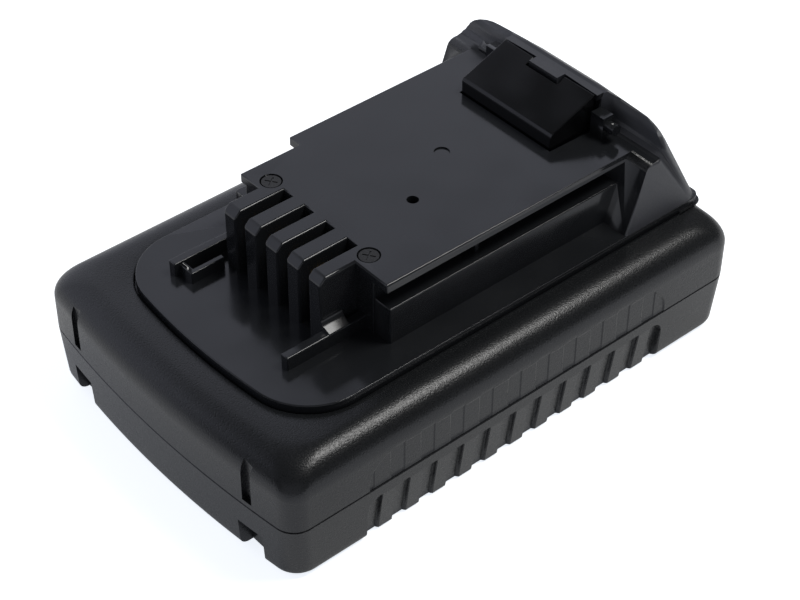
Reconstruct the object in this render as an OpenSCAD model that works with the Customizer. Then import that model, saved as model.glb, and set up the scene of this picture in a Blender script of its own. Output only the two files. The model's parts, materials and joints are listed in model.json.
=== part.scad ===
// Slide-on battery pack for a cordless tool: two case halves, a rail cover with
// a tower and a sprung latch, and five round cells with their board and contacts.
// Millimetres. X runs from the terminal end to the latch end, Z is up, and the
// origin is the middle of the bottom.

/* [Cells] */
// Diameter of one cell
cell_d = 18.3; // [17:0.1:20]
// Length of one cell
cell_len = 65; // [60:0.5:72]
// Space between neighbouring cells
cell_gap = 0.3; // [0.2:0.1:1]
// Radial room of a cell in its holder
cell_fit = 0.1; // [0.05:0.05:0.3]
// How far the holders reach along the cells
holder_grip = 8; // [5:0.5:14]
// Rim of a holder beyond the cell ends
holder_rim = 3.25; // [2.5:0.25:5]

/* [Case] */
// Wall of both case halves
case_wall = 2.2; // [1.6:0.1:2.8]
// Room between the case and the holders
case_clear = 0.3; // [0.2:0.1:0.6]
// Room at each end of the cell row for the case screws
end_room = 9.8; // [8.6:0.1:14]
// Foam under the cells
pad_t = 2.2; // [1.5:0.1:3.5]
// Room above the cells
cell_headroom = 1; // [0.9:0.1:2]
// Thickness of the shoulder around the deck
shoulder_t = 3; // [2.6:0.1:5]
// Height of the parting line
parting_z = 13; // [11:0.1:14.5]
// How far the lower case draws in towards the floor
lower_draft = 0.7; // [0.3:0.1:1.5]
// Round along the bottom edge
foot_r = 1.8; // [1:0.1:4]
// Round along the upper edge
edge_r = 6; // [4:0.1:8]
// Upright corner round at the parting line
corner_r = 4.5; // [3:0.1:8]
// Bow of the terminal end
front_bow = 2.8; // [0.5:0.1:4]
// Bow of the latch end
rear_bow = 1.2; // [0.5:0.1:4]
// Grip grooves on each long side
grip_count = 12; // [4:1:13]
// Spacing of the grip grooves
grip_pitch = 6.65; // [4:0.05:7]
// Width of a grip groove
grip_w = 3.2; // [1.6:0.1:3.6]
// Depth of the grip grooves at the foot
grip_depth = 1.6; // [0.8:0.1:1.8]
// Depth of the whole grip zone at the foot
zone_depth = 0.8; // [0.2:0.1:1]
// Width of the two notches at the foot of the terminal end
notch_w = 6.4; // [4:0.1:8]
// Height of those notches
notch_h = 7.2; // [4:0.1:8]

/* [Rail cover] */
// Shoulder between the long side and the deck
shoulder_w = 9; // [8.4:0.1:12]
// Shoulder between the terminal end and the deck
shoulder_l = 10.7; // [8.8:0.1:14]
// Height of the deck above the shoulder
deck_rise = 1.5; // [0.8:0.1:3]
// How deep the deck is let into the shoulder
deck_seat = 1; // [0.6:0.1:1.4]
// Gap around the deck in its seat
deck_gap = 0.5; // [0.2:0.05:0.8]
// Front corner round of the deck
deck_r = 13; // [8:0.5:18]
// Height of the rail ledge above the deck
ledge_h = 8.3; // [7:0.1:12]
// Height of the side channels that the tool's rails run in
channel_h = 4.2; // [3:0.1:6]
// Depth of the side channels
channel_d = 4.25; // [3:0.05:4.5]
// Width of the top plate
plate_w = 46.5; // [45:0.5:50]
// Length of the top plate
plate_l = 61.2; // [56:0.2:66]
// Thickness of the top plate
plate_t = 2; // [1.6:0.1:3]
// Wall of the rail cover
cover_wall = 2; // [1.6:0.1:2.4]
// Reach of the terminal fingers in front of the plate
finger_l = 8.3; // [6:0.1:10]
// Spacing of the terminal slots
slot_pitch = 6.33; // [5.6:0.01:6.6]
// Width of a terminal slot
slot_w = 2.7; // [2.5:0.1:3.2]
// Reach of the slots behind the plate's front edge
slot_run = 3.35; // [2:0.05:4]

/* [Tower] */
// Height of the tower above the plate
tower_rise = 8; // [7.6:0.1:12]
// Distance of the tower's foot from the latch end
tower_setback = 2; // [1.6:0.1:4]
// Depth of the tower at the deck
tower_depth = 22.2; // [20:0.1:24]
// How far the tower's front leans back
tower_lean = 8.4; // [7:0.1:9]
// Thickness of the ridge along its top
ridge_t = 5; // [4.6:0.1:6]
// Round of the two upper corners
ridge_r = 8; // [7:0.1:13]
// How far each flank leans in
flank_lean = 0.5; // [0.2:0.05:3]
// How much higher the ridge is in its middle
crown = 0.7; // [0:0.1:1.5]

/* [Latch] */
// Width of the wedge
latch_w = 25.5; // [18:0.5:26]
// Length of the wedge
latch_l = 11.6; // [9:0.1:13]
// Height of the wedge's front edge above the plate
latch_front_h = 3.7; // [2:0.1:5]
// Height of the wedge's rear edge above the plate
latch_rear_h = 7.8; // [6.5:0.1:7.9]
// Press travel
latch_travel = 5; // [3:0.1:5.5]
// Room around the latch
latch_clear = 0.35; // [0.2:0.05:0.5]
// Width of the thumb pad
thumb_w = 18; // [12:0.5:22]
// Height of the thumb pad
thumb_h = 8; // [6:0.1:9]
// Wire of the return springs
spring_wire = 0.7; // [0.5:0.05:0.9]
// Mean radius of the return springs
spring_r = 2.7; // [2.5:0.1:3.2]
// Curls of each return spring
spring_turns = 6; // [4:1:7]

/* [Fasteners] */
// Shank diameter of the case screws
case_screw_d = 3; // [2.5:0.1:3.2]
// Head diameter of the case screws
case_head_d = 5.4; // [4.6:0.1:5.6]
// Shank diameter of the rail screws
rail_screw_d = 2.2; // [2:0.1:2.6]
// Head diameter of the rail screws
rail_head_d = 4.1; // [3.6:0.1:4.4]
// Radial room of a screw shank in its hole
screw_fit = 0.2; // [0.1:0.05:0.4]

/* [Hidden] */
$fn = 48;

// Colours
satin_black = "#2b2d30";
gloss_black = "#1c1d1f";
wrap_blue = "#2f5f9c";
frame_grey = "#55585c";
nickel = "#b9b6ad";
steel = "#8d9094";
board_green = "#1f5a3a";
paper = "#c9c2a5";
foam = "#3c3c3e";
brass = "#b99a55";

// Counts that fix how finely the case is drawn
bow_steps = 6;
corner_steps = 5;
deck_steps = 12;
round_steps = 6;
cell_count = 5;
eps = 0.02;
least_r = 0.4;

// Plan sizes of the case
cell_pitch = cell_d + cell_gap;
row_l = cell_count * cell_pitch;
body_l = row_l + 2 * (end_room + case_wall);
side_y = cell_len / 2 + holder_rim + case_clear + case_wall;
front_x = -body_l / 2;
rear_x = body_l / 2;

// Heights
floor_z = case_wall;
cell_z = floor_z + pad_t + cell_d / 2;
cell_top = floor_z + pad_t + cell_d;
roof_z = cell_top + cell_headroom;
shoulder_z = roof_z + shoulder_t;
seat_z = shoulder_z - deck_seat;
deck_z = shoulder_z + deck_rise;
ledge_z = deck_z + ledge_h;
plate_under = ledge_z + channel_h;
plate_z = plate_under + plate_t;
tower_z = plate_z + tower_rise;

// Deck and tower in plan
deck_half = side_y - shoulder_w;
deck_front = front_x + shoulder_l;
deck_rear = rear_x - tower_setback;
tower_front = deck_rear - tower_depth;
tower_corner = 2;
seat_lip = 2.4;
ridge_front = tower_front + tower_lean;
ridge_half = deck_half - flank_lean;
front_slope = tower_lean / (tower_z - shoulder_z);
plate_rear = tower_front + front_slope * (plate_z - shoulder_z);
plate_front = plate_rear - plate_l;
plate_half = plate_w / 2;
neck_half = plate_half - channel_d;

// Steps of the ridge round: share of its thickness, drop from the top, draw-in at the sides
ridge_steps = [[-0.05, 0.8, 0], [0, 0.25, 0], [0.12, 0, 0.05], [0.4, 1.1, 0.3], [0.75, 2.5, 0.6], [1, 4, 0.9]];
crown_half = 8;
ridge_drop = ridge_steps[len(ridge_steps) - 1][1];

// Back of the tower
back_top_x = ridge_front + ridge_t;
back_top_z = tower_z - ridge_drop;
back_slope = (deck_rear - back_top_x) / (back_top_z - shoulder_z);
function back_x(z) = deck_rear - (z - shoulder_z) * back_slope;

// Terminals
slot_count = 4;
finger_half = (slot_count - 1) / 2 * slot_pitch + slot_w / 2 + 3.5;
finger_chamfer = 1.3;
finger_front = plate_front - finger_l;
slot_end = plate_front + slot_run;
inner_front = slot_end + cover_wall;
contact_h = 8;
contact_t = 0.4;
contact_z = plate_under - 2 - contact_h;

// Latch
latch_half = latch_w / 2;
latch_rear = plate_rear + 0.7;
latch_front = latch_rear - latch_l;
flange_t = 2;
flange_lap = 1.7;
flange_top = plate_under - 0.2;
flange_z = flange_top - flange_t;
flange_rear = latch_rear + 2.1;
arm_half = thumb_w / 2 - 2.5;
thumb_top = plate_under + 1.6;
thumb_z = thumb_top - thumb_h;
thumb_proud = 0.8;
thumb_inset = 3.1;
apron_t = 1.4;
apron_lap = 1.5;
apron_z = thumb_z - latch_travel - latch_clear - 0.4;
window_top = shoulder_z + (latch_rear + latch_clear - tower_front) / front_slope + 0.4;
window_rear = ridge_front + 0.6;
window_half = latch_half + latch_clear;
wall_x = ridge_front + 1.6;
cove_r = 2.2;
lip_r = 2;
lip_steps = 6;
brow_r = 3;
brow_z = tower_z - brow_r - 2.2;
tab_half = 4;
tab_reach = 3.9;
tab_clear = 0.35;
tab_low = tower_z - 1.6;
tab_high = tower_z - 0.4;
spring_x = latch_rear - 5;
spring_y = latch_half - 3.2;
post_r = spring_r - spring_wire / 2 - 0.4;
pin_l = 2;

// Inner tray, board and sheets
sheet_t = 0.3;
sheet_z = cell_top + 0.1;
tray_z = sheet_z + sheet_t;
tray_t = 1.8;
tray_top = tray_z + tray_t;
tray_half = neck_half - 1;
tray_front = plate_front - 0.4;
tray_rear = latch_rear + 0.4;
board_t = 1.6;
board_z = tray_top + 3.5;
board_top = board_z + board_t;
board_half = neck_half - cover_wall - 1;
block_front = inner_front + 0.4;
block_t = 2.2;
board_front = block_front + block_t + 0.2;
board_rear = latch_front - flange_lap - 1.2;
boss_x = plate_front + 3.1;
boss_y = finger_half + 0.1;
boss_r = 2;
boss_top = plate_z - 3.4;
boss_clear = 0.3;
spring_z = tray_top;

// Small parts on the tray and the board
post_inset = 4;
post_side = 3;
board_post_r = 2.2;
pilot_l = 9;
pilot_over = 1;
tip_back = 3.2;
pinch_back = 2.6;
leaf_run = 3;
chip_x = 26;
chip_w = 7;
chip_h = 1.4;
bead_l = 5;

// Screws of the case
case_screw_x = row_l / 2 + 3.4;
case_screw_y = 18;
case_boss_r = 3.1;
case_seat_z = 4;
case_screw_top = roof_z - 4;

// Notches, grooves and panel of the case
notch_y = 26.8;
notch_run = 4.6;
front_groove_w = 2.4;
front_groove_d = 0.9;
panel_d = 0.4;
panel_h = 7.6;
zone_half = (grip_count - 1) / 2 * grip_pitch + grip_w / 2;
grip_top = parting_z - 2.8;

// Strips
strip_t = 0.2;
strip_w = 7;
link_y = cell_len / 2;

// A box between two corners
module slab(x0, x1, y0, y1, z0, z1) {
    translate([x0, y0, z0]) cube([x1 - x0, y1 - y0, z1 - z0]);
}

// A box across the middle plane
module wide_slab(x0, x1, half, z0, z1) {
    slab(x0, x1, -half, half, z0, z1);
}

// An outline in X and Z, pulled out to both sides of the middle plane
module side_extrude(half, points) {
    translate([0, half, 0]) rotate([90, 0, 0]) linear_extrude(2 * half) polygon(points);
}

// Quarter of a bowed end with a round corner, measured inwards from the end's middle
function bow_angle(half, r, bow) = atan(2 * bow * (half - r) / (half * half));
function quarter(half, r, bow, steps) =
    let (
        a = bow_angle(half, r, bow),
        y_end = half - r * (1 - sin(a)),
        cx = bow * pow(y_end / half, 2) + r * cos(a)
    )
    concat(
        [for (i = [0:bow_steps - 1]) let (y = y_end * i / bow_steps) [bow * pow(y / half, 2), y]],
        [for (i = [0:steps]) let (t = a + (90 - a) * i / steps)
            [cx - r * cos(t), half - r + r * sin(t)]]
    );

// Closed outline with a bowed front and rear end
function bowed_plan(x0, x1, half, r0, r1, bow0, bow1, steps = corner_steps) =
    let (
        q0 = quarter(half, r0, bow0, steps),
        q1 = quarter(half, r1, bow1, steps),
        n = len(q0)
    )
    concat(
        [for (p = q0) [x0 + p[0], -p[1]]],
        [for (i = [n - 1:-1:0]) [x1 - q1[i][0], -q1[i][1]]],
        [for (i = [1:n - 1]) [x1 - q1[i][0], q1[i][1]]],
        [for (i = [n - 1:-1:1]) [x0 + q0[i][0], q0[i][1]]]
    );

// One level of the case, drawn in from its largest outline
function case_ring(z, inset) =
    let (r = corner_r + 0.5 * inset)
    [for (p = bowed_plan(front_x + inset, rear_x - inset, side_y - inset, r, r, front_bow, rear_bow))
        [p[0], p[1], z]];

// A solid skin over stacked levels, lowest first
module loft(rings) {
    n = len(rings[0]);
    last = (len(rings) - 1) * n;
    polyhedron(
        points = [for (r = rings) each r],
        faces = concat(
            [[for (i = [0:n - 1]) i]],
            [for (k = [0:n:last - n]) for (i = [0:n - 1]) [k + i, k + n + i, k + n + (i + 1) % n]],
            [for (k = [0:n:last - n]) for (i = [0:n - 1]) [k + i, k + n + (i + 1) % n, k + (i + 1) % n]],
            [[for (i = [n - 1:-1:0]) last + i]]
        )
    );
}

// Lower case form: drafted sides and a round foot, drawn in by a wall
function draft_at(z) = lower_draft * (parting_z - z) / parting_z;
module lower_form(wall, top) {
    r = max(foot_r - wall, least_r);
    rings = [for (i = [0:round_steps]) let (t = 90 * i / round_steps, z = wall + r * (1 - cos(t)))
        case_ring(z, wall + draft_at(z) + r * (1 - sin(t)))];
    loft(concat(rings, [case_ring(parting_z, wall)], top > parting_z ? [case_ring(top, wall)] : []));
}

// Upper case form: upright sides and a big round along the shoulder, drawn in by a wall
module upper_form(wall, top, bottom) {
    r = edge_r - wall;
    rings = [for (i = [0:round_steps]) let (t = 90 * i / round_steps)
        case_ring(top - r * (1 - sin(t)), wall + r * (1 - cos(t)))];
    loft(concat([case_ring(bottom, wall)], rings));
}

// Room inside both case halves, less a clearance
module inner_room(clear) {
    wall = case_wall + clear;
    union() {
        lower_form(wall, parting_z + eps);
        upper_form(wall, roof_z - clear, parting_z);
    }
}

module case_screw_places() {
    for (sx = [-1, 1])
        for (sy = [-1, 1])
            translate([sx * case_screw_x, sy * case_screw_y, 0]) children();
}

module grip_places() {
    for (i = [0:grip_count - 1])
        translate([(i - (grip_count - 1) / 2) * grip_pitch, 0, 0]) children();
}

// Wedge along the left side that cuts one depth at the foot and another at its top
module grip_wedge(length, depth, top_depth) {
    y_top = side_y - draft_at(grip_top) - top_depth;
    y_foot = side_y - lower_draft - depth;
    rotate([90, 0, 90]) linear_extrude(length)
        polygon([[y_top, grip_top], [y_foot, 0], [y_foot, -1], [side_y + 1, -1], [side_y + 1, grip_top]]);
}

module lower_case() {
    color(satin_black) difference() {
        union() {
            difference() {
                lower_form(0, parting_z);
                lower_form(case_wall, parting_z + 1);
            }
            // walls around the two notches
            intersection() {
                lower_form(0, parting_z);
                for (s = [-1, 1])
                    translate([front_x, s * notch_y - notch_w / 2 - case_wall, 0])
                        cube([notch_run + case_wall, notch_w + 2 * case_wall, notch_h + case_wall]);
            }
            case_screw_places() translate([0, 0, floor_z - 1])
                cylinder(r = case_boss_r, h = parting_z - floor_z + 1);
        }
        for (s = [-1, 1])
            translate([front_x - 1, s * notch_y - notch_w / 2, -1])
                cube([notch_run + 1, notch_w, notch_h + 1]);
        case_screw_places() {
            translate([0, 0, -1]) cylinder(d = case_screw_d + 2 * screw_fit, h = parting_z + 2);
            translate([0, 0, -1]) cylinder(d = case_head_d + 2 * screw_fit, h = case_seat_z + 1);
        }
        // grip zone and its grooves, both deepest at the foot
        for (m = [0, 1])
            mirror([0, m, 0]) {
                translate([-zone_half, 0, 0]) grip_wedge(2 * zone_half, zone_depth, 0);
                grip_places() translate([-grip_w / 2, 0, 0])
                    grip_wedge(grip_w, grip_depth, grip_depth - zone_depth);
            }
    }
}

// Outline of the deck, moved out by a margin
module deck_outline(margin) {
    polygon(bowed_plan(deck_front - margin, deck_rear + margin, deck_half + margin,
        deck_r + margin, tower_corner + margin, front_bow, 0.4, deck_steps));
}

// Rounded panel on a long side of the upper case
module side_panel() {
    r = panel_h - 0.2;
    translate([0, 0, parting_z - eps]) rotate([90, 0, 0]) linear_extrude(2 * panel_d, center = true)
        intersection() {
            translate([-zone_half, 0]) square([2 * zone_half, panel_h]);
            union() {
                translate([-zone_half + r, 0]) square([2 * (zone_half - r), panel_h]);
                for (s = [-1, 1])
                    translate([s * (zone_half - r), 0]) circle(r = r);
            }
        }
}

// Opening under the deck: stops short of the rear screw bosses, with a bay for the latch between them
module roof_opening() {
    boss_edge = case_screw_x - case_boss_r - 0.8;
    bay_half = thumb_w / 2 + apron_lap + 1;
    intersection() {
        deck_outline(-seat_lip);
        union() {
            translate([front_x, -side_y]) square([boss_edge - front_x, 2 * side_y]);
            translate([0, -bay_half]) square([rear_x, 2 * bay_half]);
        }
    }
}

module upper_case() {
    color(satin_black) difference() {
        union() {
            difference() {
                upper_form(0, shoulder_z, parting_z);
                upper_form(case_wall, roof_z, parting_z - 1);
            }
            case_screw_places() translate([0, 0, parting_z + 0.2])
                cylinder(r = case_boss_r, h = roof_z - parting_z + 0.5);
        }
        translate([0, 0, seat_z]) linear_extrude(deck_seat + 1) deck_outline(deck_gap);
        translate([0, 0, roof_z - 1]) linear_extrude(shoulder_t + 2) roof_opening();
        case_screw_places() translate([0, 0, parting_z - 1])
            cylinder(d = case_screw_d - 0.4, h = case_screw_top - parting_z + 1);
        // upright grooves above the notches of the terminal end, running out in the upper round
        for (s = [-1, 1])
            translate([front_x - 1, s * notch_y - front_groove_w / 2, parting_z + 1.2])
                cube([1 + front_bow * pow(notch_y / side_y, 2) + front_groove_d, front_groove_w, shoulder_z]);
        for (s = [-1, 1])
            translate([0, s * side_y, 0]) side_panel();
    }
}

// One upper corner of the ridge, as a thin slice with its centre at the origin
module ridge_corner(r) {
    rotate([90, 0, 90]) linear_extrude(0.05)
        intersection() {
            circle(r = r, $fn = 32);
            translate([-r, 0]) square([2 * r, r]);
        }
}

// Tower: a foot on the deck's outline, a leaning front with round upper corners and a ridge that
// falls off to the back, all drawn in by a wall
module tower_form(wall) {
    corner_y = ridge_half - ridge_r;
    corner_z = tower_z - crown - ridge_r;
    hull() {
        translate([0, 0, seat_z - (wall > 0 ? 1 : 0)]) linear_extrude(shoulder_z - seat_z)
            polygon(bowed_plan(tower_front + wall, deck_rear - wall, deck_half - wall,
                0.6, tower_corner, 0, 0.4));
        multmatrix([
            [1, 0, front_slope, ridge_front + wall - front_slope * tower_z], [0, 1, 0, 0], [0, 0, 1, 0]
        ])
            for (s = [-1, 1])
                translate([0, s * corner_y, corner_z]) ridge_corner(ridge_r - wall);
        for (k = ridge_steps)
            translate([ridge_front + wall + k[0] * (ridge_t - 2 * wall), 0, -k[1]]) {
                for (s = [-1, 1])
                    translate([0, s * (corner_y - k[2]), corner_z]) ridge_corner(ridge_r - wall);
                translate([0, -crown_half, tower_z - wall - 1]) cube([0.05, 2 * crown_half, 1]);
            }
    }
}

// Scoops beside the latch: a shelf flush with the plate and rounded at its front, a set-back front of
// the ridge and its round
module tower_scoops() {
    x0 = tower_front - 2;
    x1 = wall_x + brow_r + 1;
    lean_a = atan(front_slope);
    turn_a = 90 - lean_a;
    lip_x = plate_rear + lip_r * tan(turn_a / 2);
    lip_z = plate_z - lip_r;
    for (m = [0, 1])
        mirror([0, m, 0]) intersection() {
            side_extrude(side_y, concat(
                [[x0, lip_z + lip_r * sin(lean_a)]],
                [for (i = [0:lip_steps]) let (t = 90 + turn_a * (1 - i / lip_steps))
                    [lip_x + lip_r * cos(t), lip_z + lip_r * sin(t)]],
                [[wall_x - cove_r, plate_z]],
                [for (t = [60, 30, 0]) [wall_x - cove_r * (1 - cos(t)), plate_z + cove_r * (1 - sin(t))]],
                [for (t = [0:18:90]) [wall_x + brow_r * (1 - cos(t)), brow_z + brow_r * sin(t)]],
                [[x1, tower_z + 1], [x0, tower_z + 1]]
            ));
            translate([0, 0, lip_z]) linear_extrude(tower_rise + lip_r + 2)
                polygon([
                    [x0, window_half], [ridge_front - 0.5, window_half], [x1, window_half + brow_r],
                    [x1, side_y], [x0, side_y]
                ]);
        }
}

// Outline of the top plate, narrower on the left near its front
module plate_outline() {
    step_w = 3.2;
    step_l = 14.4;
    polygon([
        [plate_front, -plate_half], [plate_rear + 2, -plate_half], [plate_rear + 2, plate_half],
        [plate_front + step_l, plate_half], [plate_front + step_l, plate_half - step_w],
        [plate_front, plate_half - step_w]
    ]);
}

// Five fingers in one block, with chamfered front edges
module finger_block() {
    side_extrude(finger_half, [
        [finger_front, deck_z - 1], [slot_end + 1, deck_z - 1], [slot_end + 1, plate_z],
        [finger_front + finger_chamfer, plate_z], [finger_front, plate_z - finger_chamfer]
    ]);
}

// Low rails before the platform, the walled pocket on the left and, at the right outer finger, a ramp
// above the rail that turns up into the finger's side
module front_rails() {
    rail_l = 18;
    rail_h = 3;
    rail_w = 2;
    pocket_h = 2.5;
    pocket_t = 1.2;
    x0 = plate_front - rail_l;
    near_y = -finger_half - 2.4;
    far_y = finger_half + 5.4;
    slab(x0, plate_front + 1, near_y, near_y + rail_w, deck_z - 1, deck_z + rail_h);
    slab(x0, plate_front + 1, far_y - rail_w, far_y, deck_z - 1, deck_z + rail_h);
    slab(x0 + 1.2, x0 + 1.2 + pocket_t, finger_half - 0.4, far_y - 1, deck_z - 1, deck_z + pocket_h);
    slab(x0 + 1.2, x0 + 9, finger_half - 0.4, finger_half - 0.4 + pocket_t, deck_z - 1, deck_z + pocket_h);
    cove_l = 5;
    ramp_a = 28;
    turn_r = 1.5;
    turn_steps = 6;
    ramp_w = -finger_half - near_y - turn_r * (1 - sin(ramp_a));
    turn_z = deck_z + rail_h + ramp_w * tan(ramp_a) + turn_r * cos(ramp_a);
    translate([finger_front, 0, 0]) rotate([90, 0, 90]) linear_extrude(cove_l)
        polygon(concat(
            [[near_y, deck_z + 1], [near_y, deck_z + rail_h]],
            [for (i = [0:turn_steps]) let (t = ramp_a + (90 - ramp_a) * i / turn_steps)
                [-finger_half - turn_r * (1 - sin(t)), turn_z - turn_r * cos(t)]],
            [[-finger_half + 0.5, turn_z], [-finger_half + 0.5, deck_z + 1]]
        ));
}

// Guide lugs beside the latch, each with a round stub
module latch_lugs() {
    lug_w = 3.4;
    lug_h = 4.8;
    lug_x = plate_rear - 0.7;
    inner = latch_half + latch_clear + 0.3;
    for (s = [-1, 1]) {
        slab(lug_x, plate_rear + 2, s > 0 ? inner : -inner - lug_w, s > 0 ? inner + lug_w : -inner,
            plate_z - 1, plate_z + lug_h);
        translate([lug_x + 1.3, s * (inner + lug_w - 0.5), plate_z + 2.8])
            rotate([s > 0 ? -90 : 90, 0, 0]) cylinder(r = 1.2, h = 2.9);
    }
}

// Room inside the platform and the tower, open below
module cover_room() {
    low_half = plate_half - cover_wall - 0.2;
    wide_slab(inner_front, tower_front + 4, low_half, seat_z - 1, ledge_z - cover_wall);
    wide_slab(inner_front, plate_rear + 3, neck_half - cover_wall, seat_z - 1, plate_under);
    intersection() {
        tower_form(cover_wall);
        union() {
            wide_slab(tower_front - 1, deck_rear, deck_half, seat_z - 2, plate_under);
            wide_slab(tower_front - 1, deck_rear, window_half - cover_wall, seat_z - 2, tower_z);
        }
    }
}

module terminal_slots() {
    for (i = [0:slot_count - 1]) {
        y = (i - (slot_count - 1) / 2) * slot_pitch;
        slab(finger_front - 1, slot_end, y - slot_w / 2, y + slot_w / 2, deck_z, plate_z + 1);
        slab(slot_end - 1, inner_front + 1, y - slot_w / 2, y + slot_w / 2,
            contact_z - 1, contact_z + contact_h + 1);
    }
}

module rail_screw_places() {
    for (s = [-1, 1])
        translate([boss_x, s * boss_y, 0]) children();
}

// Opening in the tower's back for the thumb pad, over its whole travel
module thumb_window() {
    half = thumb_w / 2 + latch_clear;
    wide_slab(back_x(thumb_top) - 6, deck_rear + 1, half,
        thumb_z - latch_travel - latch_clear, thumb_top + latch_clear);
}

module rail_cover() {
    rib_x = plate_front + 23.5;
    color(gloss_black) union() {
        difference() {
            union() {
                translate([0, 0, seat_z]) linear_extrude(deck_z - seat_z) deck_outline(0);
                wide_slab(plate_front + 0.8, tower_front + 4, plate_half - 0.1, deck_z - 1, ledge_z);
                wide_slab(plate_front + 0.3, plate_rear, neck_half, deck_z - 1, plate_under + 1);
                translate([0, 0, plate_under]) linear_extrude(plate_t) plate_outline();
                finger_block();
                front_rails();
                difference() {
                    tower_form(0);
                    tower_scoops();
                }
                latch_lugs();
                for (s = [-1, 1])
                    slab(rib_x, rib_x + 1, s > 0 ? neck_half - 1 : -neck_half - 2,
                        s > 0 ? neck_half + 2 : 1 - neck_half, ledge_z - 1, plate_under + 1);
            }
            cover_room();
            terminal_slots();
            rail_screw_places() {
                translate([0, 0, seat_z - 1])
                    cylinder(r = boss_r + boss_clear, h = boss_top + 0.1 - seat_z + 1);
                translate([0, 0, seat_z]) cylinder(d = rail_screw_d + 2 * screw_fit, h = plate_z);
                translate([0, 0, plate_z - 1.4]) cylinder(d = rail_head_d + 2 * screw_fit, h = 3);
            }
            // the latch comes up through the plate and into the foot of the tower
            wide_slab(latch_front - latch_clear, window_rear, window_half, plate_under - 1, window_top);
            thumb_window();
            // small moulding hole and sink in the plate
            translate([plate_front + 19.85, -7.3, plate_under - 1]) cylinder(d = 2.4, h = plate_t + 2);
            translate([plate_front + 34, 0.4, plate_z - 0.3]) cylinder(d = 3.2, h = 1);
        }
        // lip of the ridge close behind the latch, and its stop tab over the notch of the latch
        wide_slab(latch_rear + latch_clear, ridge_front + 1, window_half, tab_low, tab_high);
        wide_slab(ridge_front - tab_reach, ridge_front + 1, tab_half, tab_low, tab_high);
    }
}

// Wedge in X and Z, with a rounded front edge
module wedge(half) {
    r = 1.2;
    tip_z = plate_z + latch_front_h;
    top_z = plate_z + latch_rear_h;
    ramp = atan((top_z - tip_z) / latch_l);
    cx = latch_front + r;
    cz = tip_z - r;
    arc = [for (t = [180:-15:90 + ramp]) [cx + r * cos(t), cz + r * sin(t)]];
    side_extrude(half, concat([[latch_front, flange_z]], arc, [[latch_rear, top_z], [latch_rear, flange_z]]));
}

module latch() {
    color(gloss_black) difference() {
        union() {
            wedge(latch_half);
            wide_slab(latch_front - flange_lap, flange_rear, latch_half + flange_lap, flange_z, flange_top);
            wide_slab(flange_rear - 1, back_x(thumb_z) - thumb_inset, arm_half, thumb_z, flange_top);
            // apron inside the tower's back, closes the window below the pad
            side_extrude(thumb_w / 2 + apron_lap, [
                [back_x(apron_z) - thumb_inset - apron_t, apron_z], [back_x(apron_z) - thumb_inset, apron_z],
                [back_x(thumb_z + 1) - thumb_inset, thumb_z + 1],
                [back_x(thumb_z + 1) - thumb_inset - apron_t, thumb_z + 1]
            ]);
            // thumb pad, parallel to the tower's back
            side_extrude(thumb_w / 2, [
                [back_x(thumb_z) - thumb_inset, thumb_z], [back_x(thumb_z) + thumb_proud, thumb_z],
                [back_x(thumb_top) + thumb_proud, thumb_top], [back_x(thumb_top) - thumb_inset, thumb_top]
            ]);
            for (s = [-1, 1])
                translate([spring_x, s * spring_y, flange_z - pin_l]) cylinder(r = post_r, h = pin_l + 1);
        }
        // hollow under the wedge, between the spring pins
        wide_slab(latch_front + 2, latch_rear - 1.6, spring_y - post_r - 1, flange_z - 1, plate_z + 1);
        // notch for the ridge's stop tab
        wide_slab(ridge_front - tab_reach - tab_clear, latch_rear + 1, tab_half + tab_clear,
            tab_low - 1, tower_z + 1);
    }
}

// Return spring: one round wire along a helix
curl_rings = 8;
wire_sides = 6;
spring_low = spring_z + spring_wire / 2 + 0.05;
spring_high = flange_z - spring_wire / 2 - 0.05;
spring_steps = spring_turns * curl_rings;
function helix(i) =
    let (a = 360 * i / curl_rings)
    [spring_r * cos(a), spring_r * sin(a), spring_low + (spring_high - spring_low) * i / spring_steps];
function wire_ring(i) =
    let (
        a = 360 * i / curl_rings,
        out = [cos(a), sin(a), 0],
        c = helix(i)
    )
    [for (k = [0:wire_sides - 1]) let (t = 360 * k / wire_sides)
        c + spring_wire / 2 * (cos(t) * out + sin(t) * [0, 0, 1])];
spring_gap = min([for (i = [0:spring_steps]) for (j = [i + curl_rings - 1:spring_steps])
    if (j > i) norm(helix(i) - helix(j))]) - spring_wire;
echo(spring_least_gap = spring_gap);

module latch_spring(side) {
    color(steel) translate([spring_x, side * spring_y, 0])
        loft_tube([for (i = [0:spring_steps]) wire_ring(i)]);
}

// A tube skin over rings that run along a path
module loft_tube(rings) {
    n = len(rings[0]);
    last = (len(rings) - 1) * n;
    polyhedron(
        points = [for (r = rings) each r],
        faces = concat(
            [[for (i = [n - 1:-1:0]) i]],
            [for (k = [0:n:last - n]) for (i = [0:n - 1]) [k + i, k + (i + 1) % n, k + n + (i + 1) % n]],
            [for (k = [0:n:last - n]) for (i = [0:n - 1]) [k + i, k + n + (i + 1) % n, k + n + i]],
            [[for (i = [0:n - 1]) last + i]]
        )
    );
}

module contact_places() {
    for (i = [0:slot_count - 1])
        translate([0, (i - (slot_count - 1) / 2) * slot_pitch, 0]) children();
}

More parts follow.
